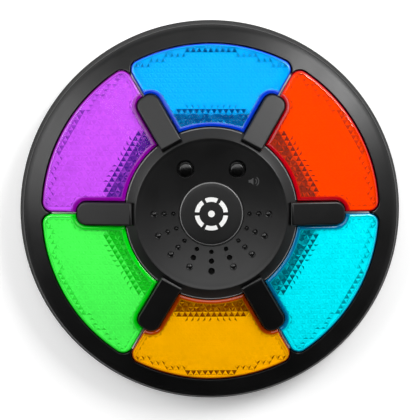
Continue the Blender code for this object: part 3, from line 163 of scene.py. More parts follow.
# Outlines
def pad_corner(grow, side, steps):
    """The rounding between the gap beside a pad and its outer arc, for a gap along +X."""
    radius = PAD_CORNER + grow
    off = PAD_HALF_GAP + PAD_CORNER
    reach = PAD_OUTER - PAD_CORNER
    centre = (sqrt(reach * reach - off * off), off)
    start = asin(max((side - off) / radius, -1))
    return arc(centre, radius, start, atan2(off, centre[0]), steps)


def pad_outline():
    """The outline of the pad at +Y, counter-clockwise, and 1 for each point by a spoke or the hub, else 0."""
    lateral = SPOKE_HALF + PAD_CLEARANCE
    tip_round = SPOKE_CORNER + PAD_CLEARANCE
    tip = (SPOKE_TIP - SPOKE_CORNER, SPOKE_HALF - SPOKE_CORNER)
    start = (sqrt(PAD_INNER ** 2 - lateral ** 2), lateral)
    straight = [(start[0] + (tip[0] - start[0]) * k / 12, lateral) for k in range(12)]
    bend = [p for p in arc(tip, tip_round, pi / 2, 0, 16) if p[1] > PAD_HALF_GAP]
    gap_start = tip[0] + sqrt(tip_round ** 2 - (tip[1] - PAD_HALF_GAP) ** 2)
    rounding = pad_corner(0, PAD_HALF_GAP, 14)
    gap = [(gap_start + (rounding[0][0] - gap_start) * k / 5, PAD_HALF_GAP) for k in range(5)]
    side = straight + bend + gap + rounding
    wide = [1.0] * (len(straight) + len(bend)) + [0.0] * (len(gap) + len(rounding))
    right = spin(side, pi / 2 - SECTOR / 2)
    left = [(-x, y) for x, y in reversed(right)]
    first = atan2(right[-1][1], right[-1][0])
    outer = arc((0, 0), PAD_OUTER, first, pi - first, 48)[1:-1]
    low = atan2(right[0][1], right[0][0])
    inner = arc((0, 0), PAD_INNER, pi - low, low, 30)[1:-1]
    marks = wide + [0.0] * len(outer) + list(reversed(wide)) + [1.0] * len(inner)
    return right + outer + left + inner, marks


def inset(points, distance):
    """The outline moved inward by a distance, or by one for each of its corners."""
    made = []
    count = len(points)
    for k in range(count):
        a, b, c = (Vector(points[(k + s) % count]) for s in (-1, 0, 1))
        first = (b - a).normalized()
        second = (c - b).normalized()
        n1 = Vector((-first.y, first.x))
        n2 = Vector((-second.y, second.x))
        bisector = n1 + n2
        bisector.normalize()
        share = max(bisector.dot(n1), 0.5)
        reach = distance if isinstance(distance, float) else distance[k]
        made.append(tuple(b + bisector * (reach / share)))
    return made


def well_outline(grow, steps):
    """The opening of the outer ring, which follows the outer arcs of all six pads."""
    made = []
    for k in range(6):
        right = spin(pad_corner(grow, CUSP_HALF, steps), pi / 2 - SECTOR / 2)
        left = [(-x, y) for x, y in reversed(right)]
        start = atan2(right[-1][1], right[-1][0])
        outer = arc((0, 0), PAD_OUTER + grow, start, pi - start, 40)[1:-1]
        made += spin(right + outer + left, k * SECTOR)
    return made


def spoke_outline(shrink, steps):
    """The spoke along +X from its root in the hub round its tip."""
    middle = SPOKE_TIP - SPOKE_CORNER
    off = SPOKE_HALF - SPOKE_CORNER
    radius = SPOKE_CORNER - shrink
    quarter = pi / 2
    made = [(SPOKE_ROOT + ROOT_ROUND * shrink, shrink - SPOKE_HALF)]
    made += arc((middle, -off), radius, -quarter, 0, steps)
    made += arc((middle, off), radius, 0, quarter, steps)
    made.append((SPOKE_ROOT + ROOT_ROUND * shrink, SPOKE_HALF - shrink))
    return made


# Meshes
def corner(shape, x, y, z):
    """A new corner of the shape, given in millimetres."""
    return shape.verts.new((x * MM, y * MM, z * MM))


def band(shape, a, b):
    """Faces between two rows of vertices of equal length."""
    for k in range(len(a)):
        j = (k + 1) % len(a)
        shape.faces.new((a[k], a[j], b[j], b[k]))


def loops_mesh(loops, closed=False, caps=(), gloss_and_highlight=None):
    """Strips between loops of equal length, points in millimetres, with a gloss value for each loop, which
    near 1 also paints a highlight.
    """
    shape = bmesh.new()
    layer = shape.verts.layers.float.new("gloss_and_highlight")
    rows = [[corner(shape, *p) for p in loop] for loop in loops]
    for row, value in zip(rows, gloss_and_highlight or ()):
        for vert in row:
            vert[layer] = value
    pairs = list(zip(rows, rows[1:]))
    if closed:
        pairs.append((rows[-1], rows[0]))
    for a, b in pairs:
        band(shape, a, b)
    for k in caps:
        shape.faces.new(rows[k] if k else list(reversed(rows[0])))
    return mesh_from(shape)


def plain_mesh(shape):
    """The shape as a mesh, just as it is."""
    mesh = bpy.data.meshes.new("mesh")
    shape.to_mesh(mesh)
    shape.free()
    return mesh


def mesh_from(shape):
    """The shape as a mesh, with double corners merged and its faces turned outward."""
    bmesh.ops.remove_doubles(shape, verts=shape.verts, dist=1e-6)
    bmesh.ops.recalc_face_normals(shape, faces=shape.faces)
    return plain_mesh(shape)


def lathe(profile, steps=ROUND, at=(0, 0), start=0.0):
    """A profile turned about a vertical axis: radius, height and, where it has a third number, its gloss,
    which near 1 also paints a highlight.
    """
    shape = bmesh.new()
    layer = shape.verts.layers.float.new("gloss_and_highlight")
    rows = []
    for radius, z, *shine in profile:
        if radius < 1e-6:
            rows.append([corner(shape, *at, z)])
            continue
        row = []
        for k in range(steps):
            x, y = polar(radius, start + 2 * pi * k / steps)
            row.append(corner(shape, at[0] + x, at[1] + y, z))
            row[-1][layer] = shine[0] if shine else 0.0
        rows.append(row)
    for a, b in zip(rows, rows[1:]):
        if len(a) == len(b):
            band(shape, a, b)
            continue
        for k in range(steps):
            j = (k + 1) % steps
            shape.faces.new((a[0], b[j], b[k]) if len(a) == 1 else (a[k], a[j], b[0]))
    return mesh_from(shape)


def prism(outline, low, high):
    """An upright solid with one outline."""
    loops = [[(x, y, low) for x, y in outline], [(x, y, high) for x, y in outline]]
    return loops_mesh(loops, caps=(0, 1))


def box(low, high):
    """A box between two corners."""
    outline = [(low[0], low[1]), (high[0], low[1]), (high[0], high[1]), (low[0], high[1])]
    return prism(outline, low[2], high[2])


def join(meshes):
    """Several meshes as one."""
    shape = bmesh.new()
    for mesh in meshes:
        shape.from_mesh(mesh)
        bpy.data.meshes.remove(mesh)
    return plain_mesh(shape)


def relief(outline, surface, low, high):
    """A thin solid from low to high over a surface, which is given by its level at a radius."""
    loops = [[(x, y, surface(hypot(x, y)) + lift) for x, y in outline] for lift in (low, high)]
    return loops_mesh(loops, caps=(0, 1))


def link(name, data):
    """A new object in the scene."""
    made = bpy.data.objects.new(name, data)
    bpy.context.scene.collection.objects.link(made)
    return made


def cut(mesh, steps):
    """The mesh after Boolean steps, each an operation and the other mesh, worked out in millimetres."""
    for part in (mesh, *(other for _, other in steps)):
        part.transform(Matrix.Scale(1 / MM, 4))
    thing = link("work", mesh)
    others = []
    for operation, other in steps:
        tool = link("tool", other)
        others.append(tool)
        change = thing.modifiers.new("cut", "BOOLEAN")
        change.operation = operation
        change.solver = "EXACT"
        change.object = tool
    bpy.context.view_layer.update()
    graph = bpy.context.evaluated_depsgraph_get()
    made = bpy.data.meshes.new_from_object(thing.evaluated_get(graph))
    for tool in others:
        spare = tool.data
        bpy.data.objects.remove(tool)
        bpy.data.meshes.remove(spare)
    bpy.data.objects.remove(thing)
    made.transform(Matrix.Scale(MM, 4))
    return made


def place(node):
    """A node's middle in plan and its lowest and highest level, in millimetres."""
    low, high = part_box(node)
    return ((low.x + high.x) / 2 / MM, (low.y + high.y) / 2 / MM), low.z / MM, high.z / MM


def paint(mesh, material):
    mesh.materials.clear()
    mesh.materials.append(material)


def put(name, mesh, material, replaced=(), angle=35, body="casing"):
    """A piece of the scene from its mesh, smooth up to an angle between faces."""
    mesh.name = name
    made = link(name, mesh)
    paint(mesh, material)
    mesh.shade_smooth()
    mesh.set_sharp_from_angle(angle=radians(angle))
    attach(made, body)
    if replaced:
        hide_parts(*replaced)
    return made


# Materials
class Nodes:
    """Short ways to add and join the nodes of one material, or of the world."""

    def __init__(self, name, world=False):
        self.made = (bpy.data.worlds if world else bpy.data.materials).new(name)
        self.made.use_nodes = True
        self.tree = self.made.node_tree
        self.shader = self.tree.nodes["Background" if world else "Principled BSDF"]
        self.where = self.add("ShaderNodeTexCoord").outputs["Generated" if world else "Object"]

    def add(self, kind, **values):
        node = self.tree.nodes.new(kind)
        for key, value in values.items():
            setattr(node, key, value)
        return node

    def join(self, source, target):
        self.tree.links.new(source, target)

    def put(self, socket, value):
        """A link where the value is another node's socket, else the value, a colour without its alpha."""
        if hasattr(value, "is_output"):
            self.join(value, socket)
        elif isinstance(value, tuple):
            socket.default_value = (*value, 1.0)
        else:
            socket.default_value = value

    def feed(self, node, **values):
        for key, value in values.items():
            self.put(node.inputs[key.replace("_", " ")], value)
        return node

    def set(self, **values):
        self.feed(self.shader, **values)

    def noise(self, scale, detail=2.0, roughness=0.5, where=None):
        node = self.feed(self.add("ShaderNodeTexNoise"), Vector=where or self.where, Scale=scale)
        return self.feed(node, Detail=detail, Roughness=roughness).outputs["Fac"]

    def math(self, operation, a, b=0.0, c=0.0):
        node = self.add("ShaderNodeMath", operation=operation)
        for socket, value in zip(node.inputs, (a, b, c)):
            self.put(socket, value)
        return node.outputs[0]

    def spread(self, value, low, high, to_low, to_high, kind="LINEAR"):
        node = self.add("ShaderNodeMapRange", interpolation_type=kind)
        self.feed(node, Value=value, From_Min=low, From_Max=high, To_Min=to_low, To_Max=to_high)
        return node.outputs["Result"]

    def mix(self, share, a, b):
        node = self.add("ShaderNodeMix", data_type="RGBA")
        return self.feed(node, Factor=share, A=a, B=b).outputs["Result"]

    def attribute(self, name):
        return self.add("ShaderNodeAttribute", attribute_name=name).outputs["Fac"]

    def bump(self, height, strength, distance):
        node = self.feed(self.add("ShaderNodeBump"), Height=height, Strength=strength, Distance=distance)
        self.set(Normal=node.outputs["Normal"])


def shaded(colour, share):
    return tuple(v * share for v in colour)


def linear(red, green, blue):
    """A colour given as 0 to 255 in sRGB, made linear."""
    made = []
    for v in (red, green, blue):
        v /= 255
        made.append(v / 12.92 if v <= 0.04045 else ((v + 0.055) / 1.055) ** 2.4)
    return tuple(made)


# How much paler a plastic is painted where it has a painted highlight, how rough it is where rubbed smooth,
# and the depth of fine grain in metres
PAINTED_HIGHLIGHT_LIGHT = 0.16
WORN_ROUGHNESS = 0.16
GRAIN_DEPTH = 0.00003


def plastic(name, dark, light, roughness, grain=0.25, grain_size=2600.0, level=0.5):
    """Moulded plastic with a fine spark-eroded grain and slightly uneven gloss, glossier or duller as a
    per-vertex value says, and painted paler, as a painted highlight, where that value is near 1.
    """
    n = Nodes(name)
    cloud = n.noise(38.0, 4.0, 0.6)
    fine = n.noise(grain_size, 2.0, 0.6)
    shine = n.attribute("gloss_and_highlight")
    # painted highlight: a paler colour on edges whose per-vertex value is near 1, standing in for the light
    # they catch
    highlight_colour = tuple(v + PAINTED_HIGHLIGHT_LIGHT for v in light)
    plain = n.mix(n.spread(cloud, 0.3, 0.7, 0.0, 1.0), dark, light)
    n.set(Base_Color=n.mix(n.spread(shine, 0.85, 1.0, 0.0, 1.0), plain, highlight_colour))
    uneven = n.spread(cloud, 0.25, 0.75, roughness - 0.04, roughness + 0.04)
    uneven = n.math("ADD", uneven, n.spread(fine, 0.3, 0.7, -0.02, 0.02))
    n.set(Roughness=n.math("ADD", uneven, n.math("MULTIPLY", shine, WORN_ROUGHNESS - roughness)))
    n.set(Specular_IOR_Level=level)
    n.bump(fine, grain, GRAIN_DEPTH)
    return n.made


BLACK = plastic("black_moulded", (0.0012, 0.0012, 0.0013), (0.0024, 0.0024, 0.0025), 0.36, level=0.45)
BADGE = plastic("badge_moulded", (0.004, 0.004, 0.0042), (0.006, 0.006, 0.0062), 0.34, 0.12, level=0.42)
GLOSSY = plastic("button_moulded", (0.0006, 0.0006, 0.0006), (0.0012, 0.0012, 0.0012), 0.15, 0.03)
WHITE = plastic("white_moulded", (0.80, 0.80, 0.78), (0.86, 0.86, 0.85), 0.5, 0.15)
SILICONE = plastic("silicone_moulded", (0.50, 0.50, 0.49), (0.56, 0.56, 0.55), 0.62, 0.3, 1800)
RUBBER = plastic("rubber_moulded", (0.022, 0.022, 0.022), (0.034, 0.034, 0.033), 0.8, 0.6, 1500)
SLEEVE_RED = plastic("wire_sleeve_red", (0.30, 0.015, 0.012), (0.38, 0.02, 0.016), 0.45, 0.1)
SLEEVE_GREY = plastic("cable_sleeve_grey", (0.40, 0.40, 0.41), (0.47, 0.47, 0.48), 0.5, 0.1)
PAPER = plastic("cone_paper", (0.012, 0.012, 0.012), (0.022, 0.022, 0.021), 0.9, 0.8, 900)
EPOXY = plastic("chip_epoxy", (0.010, 0.010, 0.010), (0.016, 0.016, 0.016), 0.55, 0.4, 2200)
CLEAR = plastic("light_epoxy", (0.78, 0.80, 0.81), (0.84, 0.86, 0.87), 0.10, 0.02)
MARK = plastic("printed_white", (0.74, 0.74, 0.73), (0.82, 0.82, 0.81), 0.55, 0.3, 3200)
EMBOSS = plastic("embossed_black", (0.045, 0.045, 0.046), (0.065, 0.065, 0.066), 0.42, 0.1)


def metal(name, colour, roughness, scale):
    """Drawn or pressed metal with faint directional lines."""
    n = Nodes(name)
    turn = n.feed(n.add("ShaderNodeMapping"), Vector=n.where)
    turn.inputs["Scale"].default_value = (1.0, 14.0, 1.0)
    lines = n.noise(scale, 3.0, where=turn.outputs["Vector"])
    n.set(Base_Color=n.mix(lines, shaded(colour, 0.85), colour), Metallic=1.0)
    n.set(Roughness=n.spread(lines, 0.2, 0.8, roughness - 0.06, roughness + 0.08))
    n.bump(lines, 0.15, 0.00002)
    return n.made


STEEL = metal("pressed_steel", (0.60, 0.60, 0.61), 0.32, 260.0)
ZINC = metal("zinc_plate", (0.55, 0.55, 0.54), 0.38, 500.0)


def board_paint():
    """Green solder mask with faint copper tracks under it."""
    n = Nodes("solder_mask")
    tracks = n.feed(n.add("ShaderNodeTexBrick"), Vector=n.where, Scale=140.0, Mortar_Size=0.06)
    cloud = n.noise(60.0, 3.0)
    mask = n.mix(cloud, (0.012, 0.11, 0.035), (0.02, 0.16, 0.055))
    n.set(Base_Color=n.mix(tracks.outputs["Fac"], mask, (0.05, 0.24, 0.09)))
    n.set(Roughness=n.spread(cloud, 0.3, 0.7, 0.3, 0.42))
    n.bump(tracks.outputs["Fac"], 0.3, GRAIN_DEPTH)
    return n.made


def cell_paint():
    """A battery's plain dark sleeve with a bright band at each end."""
    band_start = 0.0175
    n = Nodes("battery_sleeve")
    split = n.add("ShaderNodeSeparateXYZ")
    n.join(n.where, split.inputs[0])
    along = n.math("ABSOLUTE", split.outputs["X"])
    bright = n.math("GREATER_THAN", along, band_start)
    cloud = n.noise(90.0, 3.0)
    dark = n.mix(cloud, (0.045, 0.05, 0.06), (0.06, 0.065, 0.08))
    n.set(Base_Color=n.mix(bright, dark, (0.42, 0.30, 0.12)))
    n.set(Roughness=n.spread(cloud, 0.3, 0.7, 0.26, 0.36), Metallic=0.6)
    return n.made


BOARD = board_paint()
CELL = cell_paint()

# The finish of the nodes that are shown as they are
for material, names in (
    (BLACK, "battery_door"),
    (WHITE, "light_divider"),
    (BOARD, "switch_board control_board"),
    (EPOXY, "control_chip"),
    (STEEL, "speaker_frame speaker_magnet contact_positive contact_negative"),
    (STEEL, "contact_bridge_front contact_bridge_rear"),
    (PAPER, "speaker_cone"),
    (SLEEVE_RED, "speaker_lead battery_lead"),
    (SLEEVE_GREY, "board_cable"),
):
    for node in names.split():
        paint(NODES[node].data, material)
for pad in PAD_NAMES:
    paint(NODES["led_" + pad].data, CLEAR)
    paint(NODES["diffuser_" + pad].data, WHITE)


# The outer ring
def make_bezel():
    """The ring from the well's foot over its lip, top, rounded edge and wall, and back inside."""
    loops = [[(x, y, STOP_Z) for x, y in well_outline(PAD_CLEARANCE, 14)]]
    for k in range(5):
        a = pi / 2 * k / 4
        grown = well_outline(PAD_CLEARANCE + BEZEL_LIP * (1 - cos(a)), 14)
        drop = BEZEL_LIP * (1 - sin(a))
        loops.append([(x, y, bezel_z(hypot(x, y)) - drop) for x, y in grown])
    last = loops[-1]
    for share in (0.05, 0.35, 0.7, 0.95):
        ring = []
        for x, y, _ in last:
            radius = hypot(x, y)
            reach = radius + (BEZEL_TOP_RADIUS - BEZEL_EDGE_ROUND - radius) * share
            ring.append((x / radius * reach, y / radius * reach, bezel_z(reach)))
        loops.append(ring)
    start = pi / 2 - atan(BEZEL_SLOPE)
    centre = (BEZEL_TOP_RADIUS - BEZEL_EDGE_ROUND, BEZEL_SHOULDER_Z)
    wall = PAD_OUTER + PAD_CLEARANCE + WELL_RIB
    outer = arc(centre, BEZEL_EDGE_ROUND, start, 0.0, 6)
    outer += [(BODY_RADIUS - 0.25, PART_LINE_Z + 0.9), (BODY_RADIUS, PART_LINE_Z + 0.3)]
    outer += [(BODY_RADIUS - 0.15, PART_LINE_Z), (BODY_RADIUS - BEZEL_WALL, PART_LINE_Z)]
    outer += [(BODY_RADIUS - 2 * BEZEL_WALL, BEZEL_SHOULDER_Z - BEZEL_WALL)]
    outer += [(wall, bezel_z(wall) - BEZEL_WALL), (wall, STOP_Z)]
    for radius, z in outer:
        loops.append([(x / hypot(x, y) * radius, y / hypot(x, y) * radius, z) for x, y, _ in last])
    # the well and its lip, the top, then the rounded edge and the wall, which is duller than the rest
    gloss_and_highlight = [0, 0.2, 0.4, 0.4, 0.4, 0.2] + [0, 0, 0, 0.2] + [0.4] + [0.85] * 4 + [-1] + [-2.6] * 6
    mesh = loops_mesh(loops, closed=True, gloss_and_highlight=gloss_and_highlight)
    put("bezel_cover", mesh, BLACK, ["bezel_ring"], 30)


# The hub with its spokes, dish, holes and wells

# Speaker holes: their rays, reach and radius, and which ones, by ray and place, go right through
HOLE_RAYS = 9
HOLE_ANGLE = 22.5
HOLES = ((21.5, 1.2), (26.7, 1.45), (32.3, 1.8))
OPEN_HOLES = ((3, 0), (3, 1), (4, 0), (4, 1), (4, 2), (5, 0), (5, 1))
HOLE_LOW_Z = 24.0
WELL_LOW_Z = 20
# The mound in a blind hole: share of its radius, height over its floor, gloss, where 1 also paints a
# highlight
DIMPLE_DEPTH = 0.95
MOUND = ((0.94, 0.1, 0.6), (0.84, 0, 1), (0.6, 0.12, 1), (0.35, 0.42, 1), (0.15, 0.54, 1), (0, 0.56, 1))
# Small turns of what is cut away, so that its corners miss those of the hub
CUT_TURN = 0.007
HOLE_TURN = 0.013
# A spoke's rounded upper edge: distance inward, drop, gloss, where 1 also paints a highlight
SPOKE_EDGE = (
    (0.0, 0.75, 0.3), (0.03, 0.52, 1), (0.12, 0.32, 1), (0.26, 0.20, 1),
    (0.70, 0.02, 1), (0.80, 0.0, 0.3), (1.05, 0.0, 0),
)


def spokes():
    """The six spokes as one mesh."""
    made = []
    gloss_and_highlight = [0] + [shine for _, _, shine in SPOKE_EDGE]
    for k in range(6):
        outline = spoke_outline(0, 12)
        loops = [[(x, y, STOP_Z) for x, y in outline]]
        for reach, drop, _ in SPOKE_EDGE:
            inner = SPOKE_ROOT + ROOT_ROUND * reach + 0.01
            points = spoke_outline(reach, 12)
            loops.append([(x, y, spoke_z(x) - drop * (ROOT_ROUND if x < inner else 1)) for x, y in points])
        loops = [[(*spin([(x, y)], k * SECTOR)[0], z) for x, y, z in loop] for loop in loops]
        made.append(loops_mesh(loops, caps=(0, len(loops) - 1), gloss_and_highlight=gloss_and_highlight))
    return join(made)


def roof_z(radius):
    """The level of the hub's underside at a radius."""
    turn = SEAT_RADIUS + HUB_WALL
    level = SEAT_Z - 1.2
    share = max(radius - turn, 0) / (RIM_RADIUS - turn)
    return level + (RIM_Z - HUB_WALL - level) * share


def make_hub():
    """The dished cover: a turned shell, joined to the spokes and cut for badge, buttons and sound."""
    profile = [(RIM_RADIUS * k / 24, dish_z(RIM_RADIUS * k / 24)) for k in range(24)]
    profile += [(RIM_RADIUS - 0.25, RIM_Z - 0.16), (RIM_RADIUS + 0.1, RIM_Z - 0.03)]
    profile += [(RIM_RADIUS + RIM_LAND - 0.25, RIM_Z - 0.02), (RIM_RADIUS + RIM_LAND + 0.2, RIM_Z - 0.25)]
    slope = (RIM_Z - HUB_EDGE_Z) / (HUB_RADIUS - RIM_RADIUS - RIM_LAND)
    profile += [(HUB_RADIUS - 0.9, HUB_EDGE_Z + 0.65 * slope)]
    # Glossier towards the outer edge; the bead is also painted paler, a painted highlight
    profile += [(HUB_RADIUS - 0.62, HUB_EDGE_Z + 0.40 * slope, 0.5)]
    bead = arc((HUB_RADIUS - HUB_BEAD, HUB_EDGE_Z - 0.05), HUB_BEAD, radians(115), 0, 7)
    profile += [(radius, z, 1.0) for radius, z in bead]
    profile += [(HUB_RADIUS, HUB_EDGE_Z - 0.6), (HUB_RADIUS, STOP_Z + 0.4), (0, STOP_Z + 0.4)]
    hub = lathe(profile)
    low = STOP_Z - 5
    inside = [(0, roof_z(0)), (SEAT_RADIUS + HUB_WALL, roof_z(0)), (RIM_RADIUS, RIM_Z - HUB_WALL)]
    inside += [(HUB_RADIUS - HUB_WALL, HUB_EDGE_Z - HUB_WALL), (HUB_RADIUS - HUB_WALL, low), (0, low)]
    taken = [lathe(inside, 96, start=CUT_TURN)]
    lip = dish_z(SEAT_RADIUS)
    ring = [(0, lip + 1), (SEAT_RADIUS + 1.4, lip + 1), (SEAT_RADIUS + 0.2, lip + 0.02)]
    ring += [(SEAT_RADIUS, lip - 0.25), (SEAT_RADIUS, SEAT_Z), (0, SEAT_Z)]
    taken.append(lathe(ring, 128))
    wells = []
    for _, angle in BUTTONS:
        spot = polar(BUTTON_PLACE, radians(angle))
        wide = BUTTON_RADIUS + WELL_GAP
        top = dish_z(BUTTON_PLACE)
        ring = [(0, top + 2), (wide + 2.0, top + 2), (wide + 0.12, top + 0.05), (wide, top - 0.3)]
        ring += [(wide, WELL_LOW_Z), (0, WELL_LOW_Z)]
        wells.append(lathe(ring, 64, at=spot))
    taken.append(join(wells))
    holes = []
    for ray in range(HOLE_RAYS):
        for row, (reach, radius) in enumerate(HOLES):
            spot = polar(reach, radians(180 + HOLE_ANGLE * ray))
            top = dish_z(reach)
            ring = [(0, top + 1), (radius + 1.1, top + 1), (radius + 0.2, top + 0.1), (radius, top - 0.15)]
            if (ray, row) in OPEN_HOLES:
                ring += [(radius, HOLE_LOW_Z), (0, HOLE_LOW_Z)]
            else:
                ring += [(radius * share, top - DIMPLE_DEPTH + rise, shine) for share, rise, shine in MOUND]
            holes.append(lathe(ring, 28, at=spot, start=HOLE_TURN + 0.1 * ray))
    taken.append(join(holes))
    steps = [("UNION", spokes())] + [("DIFFERENCE", mesh) for mesh in taken]
    put("hub_shell", cut(hub, steps), BLACK, ["hub_cover"], 28)


# The badge and its printed mark, six arcs round a dot
BADGE_FLAT = BADGE_RADIUS - BADGE_EDGE
PIN_RADIUS = 3.0
PIN_LENGTH = 2.5
MARK_OUTER = 9.4
MARK_INNER = 6.9
MARK_GAP = 0.11
DOT_RADIUS = 1.9
PRINT_SINK = 0.15
PRINT_LIFT = 0.035


def badge_z(radius):
    """The level of the badge's slightly domed face."""
    return SEAT_Z + BADGE_THICK + FIT_GAP - BADGE_CROWN * (radius / BADGE_FLAT) ** 2


def make_badge():
    low = SEAT_Z + FIT_GAP
    profile = [(BADGE_FLAT * k / 8, badge_z(BADGE_FLAT * k / 8)) for k in range(9)]
    bend = arc((BADGE_FLAT, profile[-1][1] - BADGE_EDGE), BADGE_EDGE, pi / 2, 0, 6)[1:]
    # The rounded edge is glossier and painted paler, a painted highlight
    profile += [(radius, z, 1.0) for radius, z in bend]
    profile += [(BADGE_RADIUS, low), (PIN_RADIUS, low), (PIN_RADIUS, low - PIN_LENGTH), (0, low - PIN_LENGTH)]
    put("badge_cover", lathe(profile), BADGE, ["badge_disc"])
    low, high = badge_z(0) - PRINT_SINK, badge_z(0) + PRINT_LIFT
    marks = [lathe([(0, low), (DOT_RADIUS, low), (DOT_RADIUS, high), (0, high)], 48)]
    for k in range(6):
        middle = pi / 2 + k * SECTOR
        half = SECTOR / 2 - MARK_GAP
        outline = arc((0, 0), MARK_OUTER, middle - half, middle + half, 12)
        outline += arc((0, 0), MARK_INNER, middle + half * 0.96, middle - half * 0.96, 10)
        marks.append(relief(outline, badge_z, -PRINT_SINK, PRINT_LIFT))
    put("badge_marks", join(marks), MARK)


def make_icon():
    """An embossed sign for the sound button: a loudspeaker with two waves."""
    centre = (24.2, 18.5)
    shapes = [[(-3.2, -0.75), (-2.0, -0.75), (-0.5, -2.0), (-0.5, 2.0), (-2.0, 0.75), (-3.2, 0.75)]]
    for radius, half in ((1.7, 0.9), (2.9, 0.95)):
        outer = arc((-0.4, 0), radius + 0.25, -half, half, 8)
        inner = arc((-0.4, 0), radius - 0.2, half, -half, 8)
        shapes.append(outer + inner)
    shapes = [[(centre[0] + x, centre[1] + y) for x, y in outline] for outline in shapes]
    made = [relief(outline, dish_z, -0.25, 0.1) for outline in shapes]
    put("sound_sign", join(made), EMBOSS)


# Buttons and their switches, with radius and drop of the cap's rounded edge
CAP_FLAT = 3.1
CAP_CROWN = 0.16
CAP_EDGE = ((3.35, 0.26), (3.55, 0.46), (3.68, 0.76), (3.74, 1.2), (3.78, 2.4))
CAP_RADIUS = 3.8
STEM_RADIUS = 1.6
CASE_HEIGHT = 3.5


def make_buttons():
    for name, angle in BUTTONS:
        node = name + "_button"
        _, low, high = place(node)
        spot = polar(BUTTON_PLACE, radians(angle))
        profile = [(CAP_FLAT * k / 8, high - CAP_CROWN * (k / 8) ** 2) for k in range(9)]
        profile += [(radius, high - drop) for radius, drop in CAP_EDGE]
        flange = roof_z(BUTTON_PLACE - BUTTON_FLANGE) - FIT_GAP
        profile += [(CAP_RADIUS, flange), (BUTTON_FLANGE, flange), (BUTTON_FLANGE, flange - 1.2)]
        profile += [(STEM_RADIUS, flange - 1.2), (STEM_RADIUS, low), (0, low)]
        cap = lathe(profile, 64, at=spot)
        put(node + "_cap", cap, GLOSSY, [node], body=name + "_push")


def make_switches():
    """Push switches: a case with four studs and a plunger that the button carries down."""
    for name, angle in BUTTONS:
        node = name + "_switch"
        low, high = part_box(node)
        x, y = polar(BUTTON_PLACE, radians(angle))
        half = (high.x - low.x) / 2 / MM
        foot = low.z / MM
        tip = high.z / MM
        lid = foot + CASE_HEIGHT
        square = []
        for turn in range(4):
            square += spin([(half, -half + 0.5), (half, half - 0.5)], turn * pi / 2)
        loops = []
        for shrink, z in ((0.0, foot), (0.0, lid - 0.35), (0.25, lid - 0.1), (0.45, lid)):
            share = (half - shrink) / half
            loops.append([(x + px * share, y + py * share, z) for px, py in square])
        case = loops_mesh(loops, caps=(0, 3))
        hole = lathe([(0, lid + 1), (1.95, lid + 1), (1.95, lid - 3.0), (0, lid - 3.0)], 32, at=(x, y))
        studs = []
        for px, py in ((-2.1, -2.1), (2.1, -2.1), (2.1, 2.1), (-2.1, 2.1)):
            stud = [(0, lid - 0.3), (0.42, lid - 0.3), (0.42, lid + 0.12), (0.3, lid + 0.22), (0, lid + 0.22)]
            studs.append(lathe(stud, 12, at=(x + px, y + py)))
        case = cut(case, [("DIFFERENCE", hole), ("UNION", join(studs))])
        put(node + "_case", case, EPOXY, [node])
        profile = [(0, tip), (1.35, tip), (1.6, tip - 0.25), (1.6, lid - 2.0), (0, lid - 2.0)]
        plunger = lathe(profile, 32, at=(x, y))
        put(node + "_plunger", plunger, EPOXY, [node], body=name + "_push")


# The base and what is under it
BASE_LOW_Z = 1.5
BASE_FLOOR_Z = 3.5
BASE_ROUND = 6.5
BASE_ROUND_Z = 6.7
BASE_TOP_Z = 9.2
LIP_GAP = 1.15
LIP_THICK = 1.5
LIP_TOP_Z = 12.0
BAY_HALF_X = 27.15
BAY_HALF_Y = 22.5
BAY_WALL = 3
BAY_TOP_Z = 20.2
BAY_ROOF_Z = 18.6
DOOR_HALF_Y = 23.7
DOOR_ROUND = 3.0
THUMB_Y = -31.5


def door_outline(grow):
    """The battery door, with square corners where it is hinged."""
    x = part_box("battery_door")[1].x / MM + grow
    y = DOOR_HALF_Y + grow
    radius = DOOR_ROUND + grow
    made = [(x, y), (-x, y)]
    made += arc((radius - x, radius - y), radius, pi, 1.5 * pi, 8)
    made += arc((x - radius, radius - y), radius, 1.5 * pi, 2 * pi, 8)
    return made


